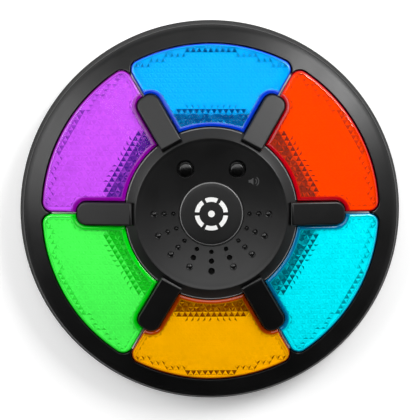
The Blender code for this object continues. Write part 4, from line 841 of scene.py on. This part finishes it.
def make_base():
    """The lower casing: a turned tray with the battery bay, cut for the door, screws and feet."""
    lip = BODY_RADIUS - BEZEL_WALL - LIP_GAP
    turns = [pi / 2 * k / 8 for k in range(9)]
    outer = [(BODY_RADIUS - BASE_ROUND + BASE_ROUND * cos(a), BASE_ROUND_Z - 5.2 * sin(a)) for a in turns]
    profile = [(0, BASE_FLOOR_Z), (103.5, BASE_FLOOR_Z), (lip - LIP_THICK, BASE_ROUND_Z)]
    profile += [(lip - LIP_THICK, LIP_TOP_Z), (lip, LIP_TOP_Z), (lip, BASE_TOP_Z)]
    profile += [(BODY_RADIUS - 0.3, BASE_TOP_Z), (BODY_RADIUS, 8.9)] + outer
    profile += [(BODY_RADIUS - 7.5, BASE_LOW_Z), (0, BASE_LOW_Z)]
    base = lathe(profile)
    x, y = BAY_HALF_X, BAY_HALF_Y
    bay = box((-x - BAY_WALL, -y - BAY_WALL, 2.5), (x + BAY_WALL, y + BAY_WALL, BAY_TOP_Z))
    taken = [box((-x, -y, 2.0), (x, y, BAY_ROOF_Z)), prism(door_outline(FIT_GAP), 0.0, 3.8)]
    taken.append(box((-6.3, -29.0, -1.0), (6.3, -22.0, 4.1)))
    taken.append(join([box((x - 4.3, 21.5, 3.5), (x + 4.3, 26.5, 7.1)) for x in (-18, 18)]))
    finger = [polar(7.0, a * pi / 12) for a in range(24)]
    thumb = [(x, y * 0.6 + THUMB_Y) for x, y in finger]
    loops = []
    for share, z in ((1.05, 1.0), (0.7, 2.3)):
        loops.append([(x * share, THUMB_Y + (y - THUMB_Y) * share, z) for x, y in thumb])
    taken.append(loops_mesh(loops, caps=(0, 1)))
    ring = [(0, 12.5), (1.9, 12.5), (1.9, 3.7), (3.1, 3.7), (3.1, 1.8), (3.6, 1.3), (0, 1.3)]
    sinks = [lathe(ring, 32, at=place(f"case_screw_{number}")[0]) for number in SCREWS]
    ring = [(0, 2.3), (6.3, 2.3), (6.3, 1.7), (6.7, 1.3), (0, 1.3)]
    sinks += [lathe(ring, 48, at=place(f"rubber_foot_{number}")[0]) for number in FEET]
    taken.append(join(sinks))
    steps = [("UNION", bay)] + [("DIFFERENCE", mesh) for mesh in taken]
    put("base_cover", cut(base, steps), BLACK, ["base_shell"], 22)


def make_grips():
    """Finger ribs on the battery door."""
    ribs = []
    for k in range(5):
        y = -16.0 + 2.2 * k
        loops = []
        for grow, z in ((0.0, 1.6), (0.0, 1.4), (-0.3, 1.15)):
            ends = arc((8.0, y), 0.55 + grow, -pi / 2, pi / 2, 6)
            ends += arc((-8.0, y), 0.55 + grow, pi / 2, 1.5 * pi, 6)
            loops.append([(px, py, z) for px, py in ends])
        ribs.append(loops_mesh(loops, caps=(0, 2)))
    put("door_grips", join(ribs), BLACK, body="door")


def make_cells():
    """The three batteries, each with its button end, rolled shoulders and flat end."""
    for node in ("battery_front", "battery_middle", "battery_rear"):
        low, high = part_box(node)
        middle = (low + high) / 2 / MM
        half = (high.x - low.x) / 2 / MM
        radius = (high.z - low.z) / 2 / MM
        wide = max(hypot(v.co.y / MM - middle.y, v.co.z / MM - middle.z)
                   for v in NODES[node].data.vertices if v.co.x > high.x - 0.2 * MM)
        way = 1 if wide < radius * 0.7 else -1
        profile = [(0, half), (2.3, half), (2.7, half - 0.3), (2.75, half - 1.0), (4.0, half - 1.15)]
        profile += [(radius - 0.7, half - 1.1), (radius - 0.2, half - 1.35), (radius, half - 1.9)]
        profile += [(radius, 0.0), (radius, 0.9 - half), (radius - 0.25, 0.4 - half)]
        profile += [(radius - 0.8, 0.25 - half), (4.2, 0.3 - half), (3.9, -half), (0, -half)]
        mesh = lathe(profile, 48)
        mesh.transform(Matrix.Rotation(way * pi / 2, 4, "Y"))
        mesh.transform(Matrix.Translation(middle * MM))
        put(node + "_cell", mesh, CELL, [node], 40)


def make_feet():
    for number in FEET:
        node = f"rubber_foot_{number}"
        spot, _, top = place(node)
        profile = [(0, top), (6.0, top), (6.0, 0.8)]
        profile += arc((5.4, 0.6), 0.6, 0, -pi / 2, 4)[1:]
        profile += [(2.2, 0.0), (1.8, 0.25), (0, 0.25)]
        put(node + "_pad", lathe(profile, 48, at=spot), RUBBER, [node])


def make_screws():
    """Each screw with its thread, its round head and the cross in it."""
    for number in SCREWS:
        node = f"case_screw_{number}"
        (x, y), head, top = place(node)
        profile = [(0, top), (0.5, top - 0.9)]
        z = top - 1.4
        while z > head + 2.8:
            profile += [(1.5, z), (1.15, z - 0.35)]
            z -= 0.7
        profile += [(1.3, head + 2.0), (2.8, head + 2.0), (2.8, head + 1.1)]
        profile += [(2.6, head + 0.5), (1.9, head + 0.1), (1.2, head), (0, head)]
        screw = lathe(profile, 32, at=(x, y))
        arms = []
        for wide, tall in ((1.6, 0.35), (0.35, 1.6)):
            arm = box((x - wide, y - tall, head - 1), (x + wide, y + tall, head + 1.1))
            arms.append(("DIFFERENCE", arm))
        put(node + "_cross", cut(screw, arms), ZINC, [node])


# The pads, whose prism relief is painted lit past CHORD, the straight inner edge of the diffuser, and painted
# in shade short of it
PRISM_PITCH = 3.35
PRISM_ROW = PRISM_PITCH * sqrt(3) / 2
CHORD = 56.45
CHORD_REACH = 19.5
MIDDLE_REACH = 15
ARC_ROW = 92.0
ROW_START = 1.3
LOOK_ASIDE = 1.5
DARK_HEIGHT = 0.40
LIT_HEIGHT = 0.13
PLATE_TOP = 1.0
PLATE_LOW = 1.85
PLATE_INSET = 0.85
LATTICE_INSET = 0.95
# Margins inside the outline that aren't lit, by a gap, by the outer arc and by a spoke or the hub
GAP_MARGIN = 1.9
ARC_MARGIN = 1.0
SPOKE_MARGIN = 2.7
PAD_COLOURS = {
    # main fill, deep edge painted darker as painted shade where no diffuser lights it, dark of the painted
    # shade under the prisms
    "blue": ((0, 170, 248), (0, 60, 215), (0, 38, 100)),
    "red": ((255, 64, 0), (190, 0, 20), (84, 36, 30)),
    "cyan": ((0, 240, 252), (0, 120, 170), (0, 42, 68)),
    "orange": ((255, 182, 0), (180, 62, 0), (92, 0, 0)),
    "green": ((77, 255, 90), (0, 236, 24), (0, 178, 12)),
    "purple": ((202, 84, 242), (140, 0, 160), (12, 4, 112)),
}
PAD_FACET_SHADE = {
    # painted shade: contrast of all facets, texture of the lit ones, shade of the row along the outer arc
    "blue": (1.0, 0.03, 1.0), "red": (0.98, 0.05, 0.6), "cyan": (1.0, 0.12, 0.8),
    "orange": (1.0, 0.05, 1.0), "green": (1.0, 0.10, 0.7), "purple": (1.0, 0.18, 0.7),
}


def inside_outline(points, x, y):
    """Whether a point lies inside an outline."""
    found = False
    count = len(points)
    for k in range(count):
        x1, y1 = points[k]
        x2, y2 = points[(k + 1) % count]
        if (y1 > y) != (y2 > y) and x < (x2 - x1) * (y - y1) / (y2 - y1) + x1:
            found = not found
    return found


def sheet(outline, spacing):
    """Triangles that fill an outline with points at a spacing: (points, faces)."""
    points = [Vector(p) for p in outline]
    edge = inset(outline, spacing * 0.55)
    xs = [p[0] for p in outline]
    ys = [p[1] for p in outline]
    row = 0
    y = min(ys)
    while y < max(ys):
        x = min(xs) + (spacing / 2 if row % 2 else 0)
        while x < max(xs):
            if inside_outline(edge, x, y):
                points.append(Vector((x, y)))
            x += spacing
        y += spacing * 0.866
        row += 1
    count = len(outline)
    edges = [(k, (k + 1) % count) for k in range(count)]
    verts, _, faces, *_ = delaunay_2d_cdt(points, edges, [list(range(count))], 1, 1e-6)
    return verts, faces


def make_shell_mesh(outline, marks):
    """The clear moulded shell: rounded top edge, walls, rim and the underside of its roof."""
    shape = bmesh.new()
    edge = shape.verts.layers.float.new("edge")
    edge_shade = shape.verts.layers.float.new("edge_shade")

    def row(points, drop, depth, level=None):
        made = []
        for k, (x, y) in enumerate(points):
            z = pad_z(hypot(x, y)) - drop if level is None else level
            vert = corner(shape, x, y, z)
            wide = marks[k]
            # painted shade: how much of the deep edge colour this corner gets, wider by a spoke or the hub
            vert[edge_shade] = clamp((0.95 + 1.75 * wide - depth) / (0.35 + 0.35 * wide))
            vert[edge] = clamp((1.75 + 0.95 * wide - depth) / 0.8)
            made.append(vert)
        return made

    rows = [row(outline, 0, 0.0, FLANGE_Z)]
    small, large, turn = 0.5, 3.0, radians(35)
    for k in range(4):
        a = pi / 2 + (turn - pi / 2) * k / 3
        reach = small * (1 - sin(a))
        drop = large * (1 - cos(turn)) + small * (cos(turn) - cos(a))
        rows.append(row(inset(outline, reach), drop, reach))
    for k in range(1, 7):
        a = turn * (1 - k / 6)
        reach = small * (1 - sin(turn)) + large * (sin(turn) - sin(a))
        rows.append(row(inset(outline, reach), large * (1 - cos(a)), reach))
    for reach in (2.3, 2.9):
        rows.append(row(inset(outline, reach), 0, reach))
    for a, b in zip(rows, rows[1:]):
        band(shape, a, b)

    def fill(border, drop, flip):
        verts, faces = sheet([(v.co.x / MM, v.co.y / MM) for v in border], 4.5)
        made = list(border)
        for x, y in verts[len(border):]:
            made.append(corner(shape, x, y, pad_z(hypot(x, y)) - drop))
        for face in faces:
            corners = [made[i] for i in face]
            shape.faces.new(reversed(corners) if flip else corners)

    fill(rows[-1], 0, False)
    bottom = row(inset(outline, LENS_WALL), 0, 0.0, FLANGE_Z)
    under = row(inset(outline, LENS_WALL), LENS_ROOF, 0.0)
    band(shape, bottom, rows[0])
    band(shape, under, bottom)
    fill(under, LENS_ROOF, True)
    return mesh_from(shape)


def make_prism_mesh(outline, contrast, texture, arc_shade, seed):
    """The lens's prism relief: a thin plate whose top is a lattice of low three-sided prisms, each face with
    a value of painted shade.
    """
    rng = random.Random(seed)
    border = inset(outline, PLATE_INSET)
    core = inset(outline, LATTICE_INSET)
    shape = bmesh.new()
    layer = shape.faces.layers.float.new("shade")
    verts, faces = sheet(border, 6.0)
    top = []
    low = []
    for x, y in verts:
        z = pad_z(hypot(x, y))
        top.append(corner(shape, x, y, z - PLATE_TOP))
        low.append(corner(shape, x, y, z - PLATE_LOW))
    for face in faces:
        shape.faces.new([top[i] for i in face])
        shape.faces.new([low[i] for i in reversed(face)])
    band(shape, low[:len(border)], top[:len(border)])
    # Painted shade: the plate is painted dark short of CHORD
    for face in shape.faces:
        middle = face.calc_center_median() / MM
        face[layer] = 0.9 * contrast if middle.y < CHORD else 0.0

    margins = []
    for x, y in outline:
        by_gap = 78 < hypot(x, y) < 90 and abs(atan2(x, y)) > 0.44
        outer = hypot(x, y) > PAD_OUTER - 2
        margins.append(GAP_MARGIN if by_gap else ARC_MARGIN if outer else SPOKE_MARGIN)
    lit = inset(outline, margins)

    def prism_at(corners):
        """One prism: each facet is painted lit or in painted shade by what lies to its own side, the lit
        diffuser or the dark beside it.
        """
        cx = sum(p[0] for p in corners) / 3
        cy = sum(p[1] for p in corners) / 3
        tips = [p for p in corners if p[1] > cy]
        by_arc = len(tips) == 1 and hypot(*tips[0]) > ARC_ROW
        past = cy - CHORD
        by_chord = len(tips) == 2 and 0 < past < PRISM_ROW and abs(cx) < CHORD_REACH
        between = len(tips) == 1 and 0 < past < PRISM_ROW
        tick = len(tips) == 2 and PRISM_ROW < past < 2 * PRISM_ROW and abs(cx) < MIDDLE_REACH
        dark = past < PRISM_ROW or by_arc or not inside_outline(lit, cx * 1.02, cy * 1.02)
        height = DARK_HEIGHT if dark else LIT_HEIGHT
        feet = [corner(shape, x, y, pad_z(hypot(x, y)) - PLATE_TOP + 0.01) for x, y in corners]
        apex = corner(shape, cx, cy, pad_z(hypot(cx, cy)) - PLATE_TOP + height)
        shape.faces.new(list(reversed(feet)))[layer] = 0.5 * contrast if past < 0 else 0.0
        seen = []
        for k in range(3):
            a, b = corners[k], corners[(k + 1) % 3]
            aside = Vector(((a[0] + b[0]) / 2 - cx, (a[1] + b[1]) / 2 - cy)).normalized()
            x = (a[0] + b[0] + cx) / 3 + aside.x * LOOK_ASIDE
            y = (a[1] + b[1] + cy) / 3 + aside.y * LOOK_ASIDE
            seen.append(not inside_outline(lit, x, y))
        outside = clamp((hypot(cx, cy) - 79) / 8)
        # Painted shade for each facet: dark past the diffuser's edge with lighter specks there, darker rows
        # by the chord and outer arc, faint random texture where lit
        for k, beside in enumerate(seen):
            if by_chord:
                shade = 0.9 + 0.1 * rng.random()
            elif between:
                shade = 0.2 + 0.2 * rng.random()
            elif tick and k == (2 if cx < 0 else 0):
                shade = 0.85
            elif past < 0:
                shade = 0.86 + 0.14 * rng.random() - (0.36 * rng.random() if rng.random() < 0.4 else 0.0)
            elif by_arc:
                outward = abs(cx) < MIDDLE_REACH or k == (1 if cx > 0 else 2)
                shade = arc_shade * (0.75 + 0.25 * rng.random()) * (1.0 if outward else 0.3)
            elif beside:
                shade = 0.25 + 0.3 * rng.random()
            else:
                shade = (texture + 0.06 * outside) * rng.random()
            shape.faces.new((feet[k], feet[(k + 1) % 3], apex))[layer] = shade * contrast

    row = int(PAD_INNER * 0.7 / PRISM_ROW)
    while row * PRISM_ROW < PAD_OUTER:
        y = ROW_START + row * PRISM_ROW
        shift = PRISM_PITCH / 2 if row % 2 else 0.0
        for column in range(-18, 18):
            x = column * PRISM_PITCH + shift
            right, high = x + PRISM_PITCH, y + PRISM_ROW
            peak = (x + PRISM_PITCH / 2, high)
            first = [(x, y), (right, y), peak]
            second = [(right, y), (x + 1.5 * PRISM_PITCH, high), peak]
            for corners in (first, second):
                if all(inside_outline(core, px, py) for px, py in corners):
                    prism_at(corners)
        row += 1
    bmesh.ops.recalc_face_normals(shape, faces=shape.faces)
    return plain_mesh(shape)


def shell_paint(name, fill, deep):
    """Clear plastic, painted a deep colour towards its edges as painted shade where no diffuser lights it,
    and hiding what is under it there.
    """
    n = Nodes("clear_" + name)
    edge = n.attribute("edge")
    cloud = n.noise(30.0, 2.0)
    rich = n.mix(cloud, deep, shaded(deep, 0.75))
    # painted shade: the deep colour mixed in towards the edges
    n.set(Base_Color=n.mix(n.attribute("edge_shade"), fill, rich), IOR=1.5)
    n.set(Roughness=n.spread(cloud, 0.3, 0.7, 0.04, 0.08))
    n.set(Alpha=n.spread(edge, 0.0, 1.0, 0.07, 0.97))
    return n.made


def prism_paint(name, fill, dark):
    """The lit colour and the dark one, mixed facet by facet as painted shade."""
    n = Nodes("prisms_" + name)
    shade = n.attribute("shade")
    cloud = n.noise(55.0, 2.0)
    bright = n.mix(n.spread(cloud, 0.3, 0.7, 0.0, 1.0), fill, shaded(fill, 0.94))
    n.set(Base_Color=n.mix(shade, bright, dark), Roughness=0.6, Specular_IOR_Level=0.0)
    return n.made


def make_skirt_mesh(outline, marks):
    """The retaining flange round a pad's foot and the two lugs over its domes."""
    reach = []
    for (x, y), wide in zip(outline, marks):
        by_gap = not wide and hypot(x, y) < PAD_OUTER - 3
        reach.append(-0.15 if by_gap else -1.5)
    low, top = FLANGE_Z, FLANGE_Z + FLANGE_THICK
    wide = inset(outline, reach)
    slim = inset(outline, LENS_WALL - 0.4)
    section = ((wide, low), (wide, top), (slim, top), (slim, low))
    loops = [[(x, y, z) for x, y in points] for points, z in section]
    parts = [loops_mesh(loops, closed=True)]
    for side in (-1, 1):
        x = side * DOME_SPREAD
        lug = [(x + LUG_RADIUS, DOME_WALL + 0.8), (x - LUG_RADIUS, DOME_WALL + 0.8)]
        lug += arc((x, DOME_Y), LUG_RADIUS, pi, 2 * pi, 12)
        parts.append(prism(lug, low, top))
    return join(parts)


def make_domes(turn, name):
    """A pad's two spring domes on their web, in their resting shape; the real ones flatten as the pad goes
    down.
    """
    base = DOME_BASE_Z
    y = DOME_Y
    top = FLANGE_Z - FIT_GAP
    parts = [box((4.1 - DOME_SPREAD, y - 2, base), (DOME_SPREAD - 4.1, y + 2, base + 0.8))]
    for side in (-1, 1):
        profile = [(0, top), (2.6, top), (2.95, top - 0.15), (3.05, top - 0.6), (3.3, top - 1.4)]
        profile += [(3.7, base + 0.95), (4.3, base + 0.8), (4.5, base + 0.6), (4.5, base), (0, base)]
        parts.append(lathe(profile, 40, at=(side * DOME_SPREAD, y)))
    mesh = join(parts)
    mesh.transform(turn)
    piece = put(f"spring_domes_{name}", mesh, SILICONE, [f"dome_pad_{name}"], 40)
    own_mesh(piece)


def make_pads():
    """The six pads, each the one at +Y turned to its place."""
    outline, marks = pad_outline()
    shell = make_shell_mesh(outline, marks)
    skirt = make_skirt_mesh(outline, marks)
    for k, name in enumerate(PAD_NAMES):
        fill, deep, dark = (linear(*c) for c in PAD_COLOURS[name])
        turn = Matrix.Rotation(-k * SECTOR, 4, "Z")
        lens = "lens_" + name
        skirt_paint = shell_paint("skirt_" + name, fill, deep)
        prisms = make_prism_mesh(outline, *PAD_FACET_SHADE[name], k)
        for kind, mesh, material, replaced, angle in (
            ("shell", shell.copy(), shell_paint(name, fill, deep), [lens], 50),
            ("skirt", skirt.copy(), skirt_paint, [lens], 35),
            ("prisms", prisms, prism_paint(name, fill, dark), (), 5),
        ):
            mesh.transform(turn)
            put(f"pad_{kind}_{name}", mesh, material, replaced, angle, "pad_" + name)
        prisms.shade_flat()
        make_domes(turn, name)


make_bezel()
make_hub()
make_badge()
make_icon()
make_buttons()
make_switches()
make_base()
make_grips()
make_cells()
make_feet()
make_screws()
make_pads()


# Floor, light and camera
def make_stage():
    """White paper with a glow, stronger farther out, that is seen and mirrored but lights nothing."""
    n = Nodes("paper_floor")
    path = n.add("ShaderNodeLightPath")
    seen = n.math("MAXIMUM", path.outputs["Is Camera Ray"], path.outputs["Is Glossy Ray"])
    seen = n.math("MAXIMUM", seen, path.outputs["Is Transmission Ray"])
    cloud = n.noise(3.0, 2.0)
    n.set(Base_Color=n.mix(cloud, (0.86, 0.86, 0.86), (0.90, 0.90, 0.90)), Roughness=0.9)
    far = n.add("ShaderNodeVectorMath", operation="LENGTH")
    n.join(n.where, far.inputs[0])
    fill = n.spread(far.outputs["Value"], 0.3, 1.1, 0.22, 0.95)
    n.set(Specular_IOR_Level=0.1, Emission_Color=(1, 1, 1))
    n.set(Emission_Strength=n.math("MULTIPLY", seen, fill))
    shape = bmesh.new()
    bmesh.ops.create_grid(shape, x_segments=8, y_segments=8, size=3.0)
    floor = link("floor", mesh_from(shape))
    floor.location.z = -0.05 * MM
    floor.data.materials.append(n.made)


# Lamps: name, azimuth, angle off the vertical, distance and size in metres, watts
LAMPS = (
    ("key_light", 42, 47, 0.95, 0.42, 6.3),
    ("side_light", 160, 45, 0.95, 0.50, 3.7),
    ("top_light", 96, 19, 1.5, 0.85, 6.2),
)


def make_lamp(name, azimuth, lean, distance, size, watts):
    """A square lamp that looks at the part."""
    light = bpy.data.lights.new(name, "AREA")
    light.shape = "SQUARE"
    light.size = size
    light.energy = watts
    lamp = link(name, light)
    a, p = radians(azimuth), radians(lean)
    spot = Vector((sin(p) * cos(a), sin(p) * sin(a), cos(p))) * distance
    lamp.location = spot
    lamp.rotation_euler = spot.to_track_quat("Z", "Y").to_euler()


def make_light():
    """Lamps in a room that is brightest a little above the horizon and towards +Y."""
    n = Nodes("studio", world=True)
    bpy.context.scene.world = n.made
    split = n.add("ShaderNodeSeparateXYZ")
    n.join(n.where, split.inputs[0])
    height = split.outputs["Z"]
    low_part = n.spread(height, 0.05, 0.36, 0.35, 1.0, "SMOOTHSTEP")
    wall = n.math("MULTIPLY", n.spread(height, 0.40, 0.60, 1.0, 0.03, "SMOOTHSTEP"), low_part)
    glow = n.math("MULTIPLY", wall, n.spread(split.outputs["Y"], -0.9, 0.7, 0.04, 1.5, "SMOOTHSTEP"))
    seen = n.add("ShaderNodeLightPath").outputs["Is Camera Ray"]
    n.set(Color=n.mix(seen, glow, (1, 1, 1)), Strength=1.0)
    for lamp in LAMPS:
        make_lamp(*lamp)


# The camera: metres from the part, degrees off the vertical, the picture in pixels and millimetres a pixel
CAMERA_DISTANCE = 0.9905
CAMERA_LEFT = 1.5
CAMERA_UP = 4.65
SENSOR = 36.0
PICTURE = 420
PIXEL = 0.5811


def make_camera():
    camera = link("camera", bpy.data.cameras.new("camera"))
    target = Vector((0, 0, PART_LINE_Z * MM))
    back = Vector((-tan(radians(CAMERA_LEFT)), tan(radians(CAMERA_UP)), 1)).normalized()
    right = Vector((0, 1, 0)).cross(back).normalized()
    up = back.cross(right)
    turn = Matrix((right, up, back)).transposed().to_4x4()
    camera.matrix_world = Matrix.Translation(target + back * CAMERA_DISTANCE) @ turn
    camera.data.sensor_width = SENSOR
    camera.data.lens = CAMERA_DISTANCE / MM * SENSOR / (PICTURE * PIXEL)
    camera.data.shift_x = -0.27 / PICTURE
    camera.data.shift_y = 0.32 / PICTURE
    camera.data.clip_end = 20.0
    bpy.context.scene.camera = camera
    bpy.context.scene.view_settings.view_transform = "Standard"


make_stage()
make_light()
make_camera()
